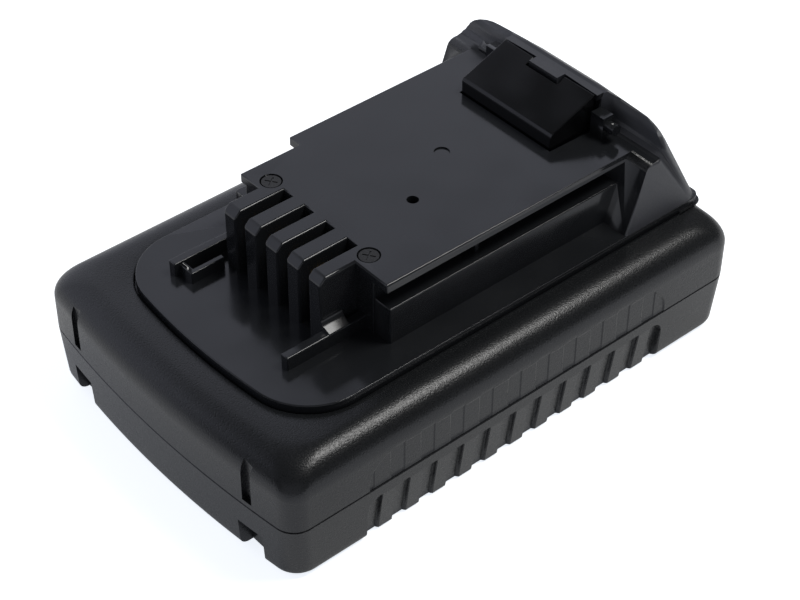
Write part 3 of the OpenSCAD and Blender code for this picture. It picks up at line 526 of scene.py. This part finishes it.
# Each material has the name of its colour and the settings of its surface
MATERIALS = {
    # spark-eroded texture breaks every highlight into fine sparkle; real grain of 0.15 mm is
    # drawn at 0.3 mm, because finer grain is lost between the pixels
    "moulded satin ABS": (
        "case", dict(rough=(0.26, 0.36), tone=0.08, patch_mm=14, bump_mm=0.3, depth_mm=0.045, bump=0.6),
    ),
    # finer texture on the tower: the same plastic, its colour painted lighter than the case's as painted
    # light
    "fine satin ABS": (
        "tower", dict(rough=(0.38, 0.48), tone=0.05, patch_mm=16, bump_mm=0.4, depth_mm=0.02, bump=0.3),
    ),
    # smooth mould: sharp, slightly wavy reflections with faint haze
    "polished ABS": (
        "cover", dict(rough=(0.13, 0.2), tone=0.1, patch_mm=20, bump_mm=9, depth_mm=0.02, bump=0.15),
    ),
    # slippery bearing plastic: deep black with a soft gloss
    "polished acetal": (
        "latch",
        dict(rough=(0.16, 0.24), tone=0.1, patch_mm=15, bump_mm=7, depth_mm=0.02, bump=0.15, level=0.4),
    ),
    # black oxide film: dull, oily black with a fine uneven film
    "black oxide steel": (
        "screw",
        dict(rough=(0.2, 0.32), tone=0.15, patch_mm=2, bump_mm=0.5, depth_mm=0.01, bump=0.2, metal=0.2),
    ),
    # rolled brass: soft metal gloss with stripes along the strip
    "rolled brass": (
        "brass",
        dict(rough=(0.22, 0.34), tone=0.06, patch_mm=4, bump_mm=0.6, depth_mm=0.01, bump=0.2, metal=1.0,
             stretch=(1, 1, 0.1)),
    ),
    # nickel strip: brushed along its length
    "nickel strip": (
        "nickel",
        dict(rough=(0.25, 0.4), tone=0.05, patch_mm=6, bump_mm=0.6, depth_mm=0.01, bump=0.2, metal=1.0,
             stretch=(0.1, 1, 1)),
    ),
    # drawn wire: bright, with fine draw marks
    "spring wire": (
        "steel",
        dict(rough=(0.2, 0.35), tone=0.08, patch_mm=3, bump_mm=0.4, depth_mm=0.01, bump=0.2, metal=1.0,
             stretch=(1, 1, 0.2)),
    ),
    # shrink sleeve: glossy thin film with slight waves
    "shrink sleeve": (
        "sleeve", dict(rough=(0.2, 0.3), tone=0.05, patch_mm=8, bump_mm=6, depth_mm=0.03, bump=0.2),
    ),
    # plain moulding: matt, with faint flow marks
    "plain moulded nylon": (
        "frames", dict(rough=(0.45, 0.6), tone=0.06, patch_mm=10, bump_mm=1.0, depth_mm=0.03, bump=0.2),
    ),
    # solder mask: glossy, slightly mottled lacquer
    "solder mask": (
        "board", dict(rough=(0.25, 0.4), tone=0.1, patch_mm=5, bump_mm=1.5, depth_mm=0.02, bump=0.2),
    ),
    # moulded epoxy: fine matt grain
    "moulded epoxy": (
        "chips", dict(rough=(0.5, 0.65), tone=0.08, patch_mm=3, bump_mm=0.4, depth_mm=0.02, bump=0.2),
    ),
    # pressed fibre sheet: dull, with visible fibre clouds
    "fish paper": (
        "paper", dict(rough=(0.65, 0.85), tone=0.1, patch_mm=3, bump_mm=0.6, depth_mm=0.03, bump=0.3),
    ),
    # closed-cell foam: matt and pitted
    "closed-cell foam": (
        "foam", dict(rough=(0.8, 0.95), tone=0.12, patch_mm=3, bump_mm=0.7, depth_mm=0.15, bump=0.5),
    ),
}


# Operators, one for each group of pieces

class PACK_OT_lower_case(bpy.types.Operator):
    """Lofts the lower case with its grip ribs, front notches and screw holes"""

    bl_idname = "pack.lower_case"
    bl_label = "Lower case"

    def execute(self, context):
        s = Millimetres(context.scene.pack_sizes)
        edges = [-s.zone, s.zone]
        for side in (-1, 1):
            edges += [side * (s.zone - s.zone_corner * k / GRIP_STEPS) for k in range(1, GRIP_STEPS + 1)]
        for i in range(s.grooves):
            middle = (i - (s.grooves - 1) / 2) * s.groove_pitch
            edges += [middle - s.groove_width / 2, middle + s.groove_width / 2]
        stations = stations_at(edges)

        def draft(z):
            """How far the side lies in at a height."""
            return s.draft * (s.parting - z) / s.parting

        def side_y(x, z, y):
            """Distance of the long side from the middle, with ribs and grooves."""
            end = s.zone - abs(x)
            reach = max(s.zone_corner - max(end, 0.0), 0.0)
            top = s.zone_top - s.zone_corner + math.sqrt(s.zone_corner ** 2 - reach ** 2)
            inside = soft_step(0.5 + end / FADE) * soft_step(0.5 + (top - z) / FADE)
            place = x / s.groove_pitch + (s.grooves - 1) / 2
            from_edge = s.groove_width / 2 - abs(place - round(place)) * s.groove_pitch
            groove = soft_step(0.5 + from_edge / FADE) * (s.groove_depth - s.zone_depth)
            wedge = (s.draft - draft(s.zone_top) + s.zone_depth) * (1 - z / s.zone_top)
            zone = s.half - draft(s.zone_top) - groove - wedge
            return y - inside * max(y - zone, 0.0)

        bm = bmesh.new()

        def level(z, inset, ribs=True):
            """One ring of the shell at a height."""
            points = []
            for x, y in case_plan(s, inset, stations):
                if ribs and abs(abs(y) - (s.half - inset)) < TINY:
                    y = math.copysign(side_y(x, z, abs(y)), y)
                points.append((x, y))
            return ring(bm, points, z)

        outside = []
        for t in quarter_turn(FOOT_STEPS):
            z = s.foot * (1 - math.cos(t))
            outside.append((z, draft(z) + s.foot * (1 - math.sin(t))))
        top = s.parting - s.seam
        low = s.zone_top - s.zone_corner
        heights = [s.foot + (low - s.foot) * i / WALL_ROWS for i in range(1, WALL_ROWS + 1)]
        rows = round((s.zone_corner + FADE) / ROW_HEIGHT)
        heights += [low + ROW_HEIGHT * i for i in range(1, rows + 1)]
        heights += [top - LAST_ROW, top]
        outside += [(z, draft(z)) for z in heights]
        outside.append((s.parting, s.seam))
        rings = [level(z, inset) for z, inset in outside]
        floor_inset = s.wall + draft(s.wall)
        inner = [
            (s.parting, s.wall),
            (s.wall + FLOOR_BEVEL, floor_inset),
            (s.wall, floor_inset + FLOOR_BEVEL),
        ]
        rings += [level(z, inset, ribs=False) for z, inset in inner]
        loft(bm, rings)
        bm.faces.new(rings[0])
        bm.faces.new(rings[-1])
        look = materials(context)
        piece = finish_piece("lower_shell", bm, [look["moulded satin ABS"]], PACK)

        notches = [side * s.notch_place for side in (-1, 1)]
        half = s.notch_width / 2
        reach = half + s.wall
        back = s.front + s.notch_run
        extra = bmesh.new()
        for x, y in CASE_SCREWS:
            rod(extra, x, y, INSIDE_FOOT, s.parting - OVERLAP, BOSS_RADIUS)
        for y in notches:
            slab(
                extra, s.front + NOTCH_WALL, back + s.wall, y - reach, y + reach,
                INSIDE_FOOT, s.notch_height + s.wall,
            )
        combine(piece, extra, "UNION")
        cuts = bmesh.new()
        for x, y in CASE_SCREWS:
            rod(cuts, x, y, -OVERCUT, HEAD_HOLE_DEPTH, HEAD_HOLE_RADIUS)
            rod(cuts, x, y, HEAD_HOLE_DEPTH - OVERLAP, s.parting + OVERCUT, SHANK_HOLE_RADIUS)
        combine(piece, cuts, "DIFFERENCE")
        cuts = bmesh.new()
        for y in notches:
            slab(cuts, s.front - OVERCUT, back, y - half, y + half, -OVERCUT, s.notch_height)
        combine(piece, cuts, "DIFFERENCE")
        shade(piece.data, CREASE)
        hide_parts("lower_case")
        return {"FINISHED"}


class PACK_OT_upper_case(bpy.types.Operator):
    """Lofts the upper case with its side panels, front grooves and deck recess"""

    bl_idname = "pack.upper_case"
    bl_label = "Upper case"

    def execute(self, context):
        s = Millimetres(context.scene.pack_sizes)
        edges = []
        for side in (-1, 1):
            edges += [side * (s.zone - s.panel_corner * k / PANEL_STEPS) for k in range(PANEL_STEPS + 1)]
        for k in range(-STRIPES_EACH_WAY, STRIPES_EACH_WAY + 1):
            middle = s.stripe_shift + k * s.stripe_pitch
            edges += [middle - s.stripe_width / 2, middle + s.stripe_width / 2]
        stations = stations_at(edges)

        def panel(x, z):
            """Depth of the side panel: round upper corners, flat stripes and a top that follows them."""
            place = (x - s.stripe_shift) / s.stripe_pitch
            from_edge = s.stripe_width / 2 - abs(place - round(place)) * s.stripe_pitch
            above_foot = soft_step((z - s.parting) / PANEL_FOOT)
            stripe = soft_step(0.5 + from_edge / FADE) * above_foot
            top = s.parting + s.panel_height - STRIPE_DROP * stripe
            dx = max(abs(x) - (s.zone - s.panel_corner), 0.0)
            dz = max(z - (top - s.panel_corner), 0.0)
            inside = s.panel_corner - math.hypot(dx, dz) if dx > 0 else top - z
            foot = PANEL_FOOT_SHARE + (1 - PANEL_FOOT_SHARE) * above_foot
            return (s.panel_depth * foot - s.stripe_rise * stripe) * soft_step(inside / FADE)

        bm = bmesh.new()

        def level(z, inset, panels=True):
            """One ring of the shell at a height."""
            points = []
            for x, y in case_plan(s, inset, stations):
                if panels and abs(abs(y) - (s.half - inset)) < TINY:
                    y -= math.copysign(panel(x, z), y)
                points.append((x, y))
            return ring(bm, points, z)

        foot = s.parting + s.seam
        fillet = s.shoulder - s.edge
        outside = [(s.parting, s.seam), (foot, 0.0)]
        rows = round((fillet - foot) / ROW_HEIGHT)
        outside += [(foot + (fillet - foot) * i / rows, 0.0) for i in range(1, rows + 1)]
        for t in quarter_turn(EDGE_STEPS, first=1):
            outside.append((s.shoulder - s.edge * (1 - math.sin(t)), s.edge * (1 - math.cos(t))))
        rings = [level(z, inset) for z, inset in outside]
        r = s.inner_round
        inside = [(s.parting, s.wall)]
        for t in quarter_turn(SMALL_STEPS):
            inside.append((s.roof - r * (1 - math.sin(t)), s.wall + r * (1 - math.cos(t))))
        inner = [level(z, inset, panels=False) for z, inset in inside]
        loft(bm, rings)
        loft(bm, inner)
        skin(bm, rings[0], inner[0])

        recess = []
        for t in quarter_turn(SMALL_STEPS):
            recess.append((s.shoulder - s.lip * (1 - math.cos(t)), s.gap + s.lip * (1 - math.sin(t))))
        recess += [(s.seat, s.gap), (s.seat, -s.seat_lip), (s.roof, -s.seat_lip)]
        hole = [ring(bm, deck_plan(s, margin), z) for z, margin in recess]
        loft(bm, hole)
        fill_between(bm, rings[-1], hole[0])
        fill_between(bm, inner[-1], hole[-1])
        look = materials(context)
        piece = finish_piece("upper_shell", bm, [look["moulded satin ABS"]], PACK)

        cuts = bmesh.new()
        back = s.front + (FRONT_GROOVE_DEPTH + s.front_bow * (s.notch_place / s.half) ** 2)
        for side in (-1, 1):
            y = side * s.notch_place
            slab(
                cuts, s.front - OVERCUT, back, y - FRONT_GROOVE_HALF, y + FRONT_GROOVE_HALF,
                s.parting + FRONT_GROOVE_START, s.shoulder + FRONT_GROOVE_OVERCUT,
            )
        combine(piece, cuts, "DIFFERENCE")
        shade(piece.data, CREASE)
        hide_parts("upper_case")
        return {"FINISHED"}


def rounded_copy(node, name, body, finishes, choose, radius, largest, adjust=None):
    """A rounded copy of a CAD node; choose gives each face its finish, radius each edge its round."""
    bm = cad_mesh(node, FLAT_ANGLE)
    if adjust:
        for vert in bm.verts:
            adjust(vert)
    bmesh.ops.recalc_face_normals(bm, faces=bm.faces)
    for face in bm.faces:
        face.material_index = choose(face)
    share = bm.edges.layers.float.new("bevel_weight_edge")
    for edge in bm.edges:
        if edge.is_manifold and edge.is_convex and edge.calc_face_angle() > math.radians(ROUND_ANGLE):
            edge[share] = radius(edge) / largest
    piece = finish_piece(name, bm, finishes, body, smooth=180)
    rounding = piece.modifiers.new("edges", "BEVEL")
    rounding.width = largest * MM
    rounding.segments = SMALL_STEPS
    rounding.limit_method = "WEIGHT"
    rounding.use_clamp_overlap = False
    bake(piece)
    shade(piece.data, CREASE)
    # large faces keep their flat shading up to the rounds
    flat = piece.modifiers.new("flat faces", "WEIGHTED_NORMAL")
    flat.mode = "FACE_AREA"
    flat.weight = 100
    flat.keep_sharp = True
    bake(piece)
    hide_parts(node)


class PACK_OT_rail_cover(bpy.types.Operator):
    """Rail cover with deck, platform, fingers and tower"""

    bl_idname = "pack.rail_cover"
    bl_label = "Rail cover"

    def execute(self, context):
        s = Millimetres(context.scene.pack_sizes)
        look = materials(context)
        finishes = ["polished ABS", "fine satin ABS", "moulded satin ABS"]

        def finish(face):
            """The tower is satin outside and in its scoops, painted lighter as painted light, and darker on
            the front round of their shelf, as painted shade over a bright line there.
            """
            c = face.calc_center_median()
            outside = face.normal.x > FORWARDS and c.x > TOWER_X and c.z > s.seat
            outer = abs(c.y) > FLANK_Y or c.x > BACK_X or c.z > CROWN_Z
            scoop = c.x > SCOOP_X and c.z > SCOOP_Z
            shelf_lip = c.x < SHELF_X and SHELF_LOW_Z < c.z < SCOOP_Z
            # painted shade: the lip takes the darker case finish instead of the tower's lighter one
            if shelf_lip and abs(c.y) > SHELF_Y and abs(face.normal.y) < HARDLY:
                return finishes.index("moulded satin ABS")
            satin = scoop or outside and outer
            return finishes.index("fine satin ABS" if satin else "polished ABS")

        def radius(edge):
            """Larger rounds on the front edges of fingers and rails and along the plate's near edge."""
            a, b = (face.normal for face in edge.link_faces)
            middle = (edge.verts[0].co + edge.verts[1].co) / 2
            size = edge.calc_length()
            if middle.x > s.tower_front or size < SHARP_BELOW * s.edge_break:
                return 0.0
            front = middle.x < FINGERS_X
            nose = min(a.x, b.x) < FORWARDS and front and middle.z > s.deck_top + FINGERS_RISE
            near_top = max(a.z, b.z) > STRAIGHT and min(a.y, b.y) < -STRAIGHT
            plate = near_top and size > LONG_EDGE and middle.z > s.deck_top + PLATE_RISE
            beside_cove = middle.y < -s.cove_side and front
            large = (nose or plate) and not beside_cove and size > SHORT_EDGE
            return s.finger_round if large else s.edge_break

        def crown_lip(vert):
            """Lifts the flat lip behind the latch to the crown of the ridge."""
            off_middle = abs(vert.co.y)
            if abs(vert.co.z - s.lip_top) < LIP_FIND and vert.co.x > s.tower_front and off_middle < LIP_HALF:
                vert.co.z += LIP_RISE - LIP_FALL * max(off_middle - LIP_FLAT, 0.0)

        rounded_copy(
            "rail_cover", "rail_cover_shell", PACK, [look[name] for name in finishes],
            finish, radius, s.finger_round, crown_lip,
        )
        return {"FINISHED"}


class PACK_OT_latch(bpy.types.Operator):
    """Latch wedge with its thumb pad"""

    bl_idname = "pack.latch"
    bl_label = "Latch"

    def execute(self, context):
        s = Millimetres(context.scene.pack_sizes)
        look = materials(context)
        # the thumb pad takes the tower's satin, painted lighter as painted light
        rounded_copy(
            "latch", "latch_body", SLIDER, [look["polished acetal"], look["fine satin ABS"]],
            lambda face: 1 if face.calc_center_median().x > PAD_X else 0,
            lambda edge: s.edge_break if edge.calc_length() > SHARP_BELOW * s.edge_break else 0.0,
            s.edge_break,
        )
        return {"FINISHED"}


class PACK_OT_springs(bpy.types.Operator):
    """Return springs under the latch, as copies of the CAD springs in spring wire"""

    bl_idname = "pack.springs"
    bl_label = "Latch springs"

    def execute(self, context):
        s = Millimetres(context.scene.pack_sizes)
        look = materials(context)
        for side in ("left", "right"):
            node = "latch_spring_" + side
            bm = cad_mesh(node)
            heights = [vert.co.z for vert in bm.verts]
            foot = min(heights)
            tall = max(heights) - foot
            piece = finish_piece(
                "return_spring_" + side, bm, [look["spring wire"]], PACK, smooth=WIRE_CREASE
            )
            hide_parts(node)
            # the share of the spring's height left after a little more than the travel
            keep = 1 - (s.latch_travel + SPRING_SPARE) / tall
            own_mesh(piece)
        return {"FINISHED"}


def screw_tree():
    """Geometry Nodes tree that sets a cross-head screw on every point of a mesh."""
    tree = bpy.data.node_groups.new("Screws on points", "GeometryNodeTree")
    sockets = tree.interface
    sockets.new_socket("Points", in_out="INPUT", socket_type="NodeSocketGeometry")
    for name in ("Head radius", "Head height", "Shank radius", "Shank length", "Cross width", "Cross depth"):
        sockets.new_socket(name, in_out="INPUT", socket_type="NodeSocketFloat")
    sockets.new_socket("Turn", in_out="INPUT", socket_type="NodeSocketVector")
    sockets.new_socket("Finish", in_out="INPUT", socket_type="NodeSocketMaterial")
    sockets.new_socket("Screws", in_out="OUTPUT", socket_type="NodeSocketGeometry")
    given = add(tree, "NodeGroupInput").outputs

    def reckon(operation, a, b):
        node = add(tree, "ShaderNodeMath", operation=operation)
        for socket, value in zip(node.inputs, (a, b)):
            if isinstance(value, bpy.types.NodeSocket):
                tree.links.new(value, socket)
            else:
                socket.default_value = value
        return node.outputs[0]

    def up(geometry, z):
        move = add(tree, "ShaderNodeCombineXYZ", {"Z": z}).outputs[0]
        return add(tree, "GeometryNodeTransform", {"Geometry": geometry, "Translation": move}).outputs[0]

    head = add(
        tree, "GeometryNodeMeshCone",
        {"Vertices": HEAD_SIDES, "Radius Top": reckon("MULTIPLY", given["Head radius"], HEAD_TAPER),
         "Radius Bottom": given["Head radius"], "Depth": given["Head height"]},
    ).outputs["Mesh"]
    cross = add(
        tree, "GeometryNodeMeshBoolean", {"Mesh 1": head}, operation="DIFFERENCE", solver="EXACT"
    )
    long_side = reckon("MULTIPLY", given["Head radius"], CROSS_REACH)
    for turned in (False, True):
        # the bar is twice as tall as the cross is deep, because half of it stands above the head
        size = add(
            tree, "ShaderNodeCombineXYZ",
            {"X": given["Cross width"] if turned else long_side,
             "Y": long_side if turned else given["Cross width"],
             "Z": reckon("MULTIPLY", given["Cross depth"], 2.0)},
        ).outputs[0]
        bar = add(tree, "GeometryNodeMeshCube", {"Size": size}).outputs["Mesh"]
        tree.links.new(up(bar, given["Head height"]), cross.inputs["Mesh 2"])
    shank = add(
        tree, "GeometryNodeMeshCylinder",
        {"Vertices": SHANK_SIDES, "Radius": given["Shank radius"], "Depth": given["Shank length"]},
    ).outputs["Mesh"]
    whole = add(tree, "GeometryNodeJoinGeometry")
    tree.links.new(cross.outputs["Mesh"], whole.inputs[0])
    tree.links.new(up(shank, reckon("MULTIPLY", given["Shank length"], -0.5)), whole.inputs[0])
    placed = add(
        tree, "GeometryNodeInstanceOnPoints",
        {"Points": given["Points"], "Instance": whole.outputs[0], "Rotation": given["Turn"]},
    )
    real = add(tree, "GeometryNodeRealizeInstances", {"Geometry": placed.outputs[0]})
    painted = add(tree, "GeometryNodeSetMaterial", {"Geometry": real.outputs[0], "Material": given["Finish"]})
    add(tree, "NodeGroupOutput", {"Screws": painted.outputs[0]})
    return tree


class PACK_OT_screws(bpy.types.Operator):
    """Cross-head screws of the platform and of the bottom"""

    bl_idname = "pack.screws"
    bl_label = "Screws"

    def execute(self, context):
        look = materials(context)
        tree = screw_tree()
        ids = {i.name: i.identifier for i in tree.interface.items_tree if i.in_out == "INPUT"}
        # node, places, sizes in millimetres and turn of each set
        sets = {
            "platform_screws": (
                "rail_screws", [(x, y, RAIL_SCREW_Z) for x, y in RAIL_SCREWS],
                {"Head radius": 2.05, "Head height": 1.25, "Shank radius": 1.0, "Shank length": 9.0,
                 "Cross width": 0.35, "Cross depth": 0.12},
                (0.0, 0.0, 0.6),
            ),
            "bottom_screws": (
                "case_screws", [(x, y, CASE_SCREW_Z) for x, y in CASE_SCREWS],
                {"Head radius": 2.7, "Head height": 2.0, "Shank radius": 1.4, "Shank length": 13.0,
                 "Cross width": 0.7, "Cross depth": 1.0},
                (math.pi, 0.0, 0.4),
            ),
        }
        for name, (node, places, sizes, turn) in sets.items():
            mesh = bpy.data.meshes.new(name)
            mesh.from_pydata([[c * MM for c in p] for p in places], [], [])
            piece = bpy.data.objects.new(name, mesh)
            context.scene.collection.objects.link(piece)
            change = piece.modifiers.new("screws", "NODES")
            change.node_group = tree
            for key, value in sizes.items():
                change[ids[key]] = value * MM
            change[ids["Turn"]] = turn
            change[ids["Finish"]] = look["black oxide steel"]
            bake(piece)
            shade(piece.data, SCREW_CREASE)
            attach(piece, PACK)
            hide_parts(node)
        return {"FINISHED"}


class PACK_OT_inner_pieces(bpy.types.Operator):
    """Gives the inner CAD pieces their real materials"""

    bl_idname = "pack.inner_pieces"
    bl_label = "Inner pieces"

    def execute(self, context):
        look = materials(context)
        by_slot = {
            "contact_brass": "rolled brass",
            "nickel": "nickel strip",
            "cell_sleeve": "shrink sleeve",
            "inner_plastic": "plain moulded nylon",
            "board": "solder mask",
            "chip_plastic": "moulded epoxy",
            "fish_paper": "fish paper",
            "foam": "closed-cell foam",
        }
        for part in frame["record"]["subparts"]:
            if part["material_slot"] in by_slot:
                mesh = frame["nodes"][part["node"]].data
                mesh.materials.clear()
                mesh.materials.append(look[by_slot[part["material_slot"]]])
        return {"FINISHED"}


# Studio

def area_light(context, name, place, aim, size, power, tone):
    """A soft box that looks at a point."""
    lamp = bpy.data.lights.new(name, "AREA")
    lamp.shape = "RECTANGLE"
    lamp.size, lamp.size_y = size
    lamp.energy = power
    lamp.color = tone
    holder = bpy.data.objects.new(name, lamp)
    holder.location = place
    holder.rotation_euler = (Vector(aim) - Vector(place)).to_track_quat("-Z", "Y").to_euler()
    context.scene.collection.objects.link(holder)


def studio_paper(rgb):
    """White paper: matt, lifted to white for the camera where no shadow falls."""
    paper = bpy.data.materials.new("studio paper")
    paper.use_nodes = True
    tree = paper.node_tree
    shader = tree.nodes["Principled BSDF"]
    clouds = grain(tree, PAPER_CLOUDS_MM)
    tree.links.new(tint(tree, clouds, rgb, 1 - PAPER_TONE, 1 + PAPER_TONE), shader.inputs["Base Color"])
    shader.inputs["Roughness"].default_value = 0.9
    shader.inputs["Specular IOR Level"].default_value = 0.1
    path = add(tree, "ShaderNodeLightPath").outputs
    seen = add(
        tree, "ShaderNodeMath", {0: path["Is Camera Ray"], 1: CAMERA_LIFT}, operation="MULTIPLY"
    ).outputs[0]
    lift = add(
        tree, "ShaderNodeMath", {0: path["Is Glossy Ray"], 1: GLOSSY_LIFT, 2: seen},
        operation="MULTIPLY_ADD",
    ).outputs[0]
    shader.inputs["Emission Color"].default_value = (0.9, 0.94, 1.0, 1.0)
    tree.links.new(lift, shader.inputs["Emission Strength"])
    return paper


def studio_world():
    """A world that is white for the camera and dim for everything else."""
    world = bpy.data.worlds.new("studio")
    world.use_nodes = True
    tree = world.node_tree
    back = tree.nodes["Background"]
    seen = add(tree, "ShaderNodeLightPath").outputs["Is Camera Ray"]
    level = add(
        tree, "ShaderNodeMapRange", {"Value": seen, "To Min": DIM_WORLD, "To Max": 1.0}
    ).outputs["Result"]
    back.inputs["Color"].default_value = (1.0, 1.0, 1.0, 1.0)
    tree.links.new(level, back.inputs["Strength"])
    return world


def photo_camera():
    """The camera of the photo."""
    camera = bpy.data.cameras.new("camera")
    camera.sensor_width = SENSOR_WIDTH
    camera.lens = CAMERA_LENS
    camera.clip_start, camera.clip_end = CAMERA_RANGE
    eye = bpy.data.objects.new("camera", camera)
    back_axis = Vector(CAMERA_BACK).normalized()
    side = Vector((0, 0, 1)).cross(back_axis).normalized()
    up = back_axis.cross(side)
    roll = math.radians(CAMERA_ROLL)
    right = side * math.cos(roll) + up * math.sin(roll)
    over = up * math.cos(roll) - side * math.sin(roll)
    turn = Matrix((right, over, back_axis)).transposed()
    eye.matrix_world = Matrix.Translation(CAMERA_PLACE) @ turn.to_4x4()
    return eye


class PACK_OT_stage(bpy.types.Operator):
    """Pale floor, soft light and the photo's camera"""

    bl_idname = "pack.stage"
    bl_label = "Studio"

    def execute(self, context):
        scene = context.scene
        scene.view_settings.view_transform = "Standard"
        bm = bmesh.new()
        bmesh.ops.create_grid(bm, x_segments=1, y_segments=1, size=FLOOR_SIZE)
        mesh = bpy.data.meshes.new("floor")
        bm.to_mesh(mesh)
        bm.free()
        mesh.materials.append(studio_paper(scene.pack_colours.floor))
        floor = bpy.data.objects.new("floor", mesh)
        floor.location.z = -FLOOR_DROP
        scene.collection.objects.link(floor)
        scene.world = studio_world()
        for light in LIGHTS:
            area_light(context, *light)
        eye = photo_camera()
        scene.collection.objects.link(eye)
        scene.camera = eye
        return {"FINISHED"}


class PACK_PT_panel(bpy.types.Panel):
    """Lists the steps, sizes and colours"""

    bl_label = "Battery pack"
    bl_space_type = "VIEW_3D"
    bl_region_type = "UI"
    bl_category = "Pack"

    def draw(self, context):
        column = self.layout.column()
        for step in STEPS:
            column.operator(step.bl_idname)
        for group in (context.scene.pack_sizes, context.scene.pack_colours):
            for name in group.__annotations__:
                column.prop(group, name)


STEPS = (
    PACK_OT_lower_case,
    PACK_OT_upper_case,
    PACK_OT_rail_cover,
    PACK_OT_latch,
    PACK_OT_springs,
    PACK_OT_screws,
    PACK_OT_inner_pieces,
    PACK_OT_stage,
)
CLASSES = (PackSizes, PackColours, *STEPS, PACK_PT_panel)


def register():
    for item in CLASSES:
        bpy.utils.register_class(item)
    bpy.types.Scene.pack_sizes = bpy.props.PointerProperty(type=PackSizes)
    bpy.types.Scene.pack_colours = bpy.props.PointerProperty(type=PackColours)


def unregister():
    del bpy.types.Scene.pack_colours
    del bpy.types.Scene.pack_sizes
    for item in reversed(CLASSES):
        bpy.utils.unregister_class(item)


def main():
    """Builds everything."""
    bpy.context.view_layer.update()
    register()
    bpy.ops.pack.lower_case()
    bpy.ops.pack.upper_case()
    bpy.ops.pack.rail_cover()
    bpy.ops.pack.latch()
    bpy.ops.pack.springs()
    bpy.ops.pack.screws()
    bpy.ops.pack.inner_pieces()
    bpy.ops.pack.stage()


if __name__ == "__main__":
    main()
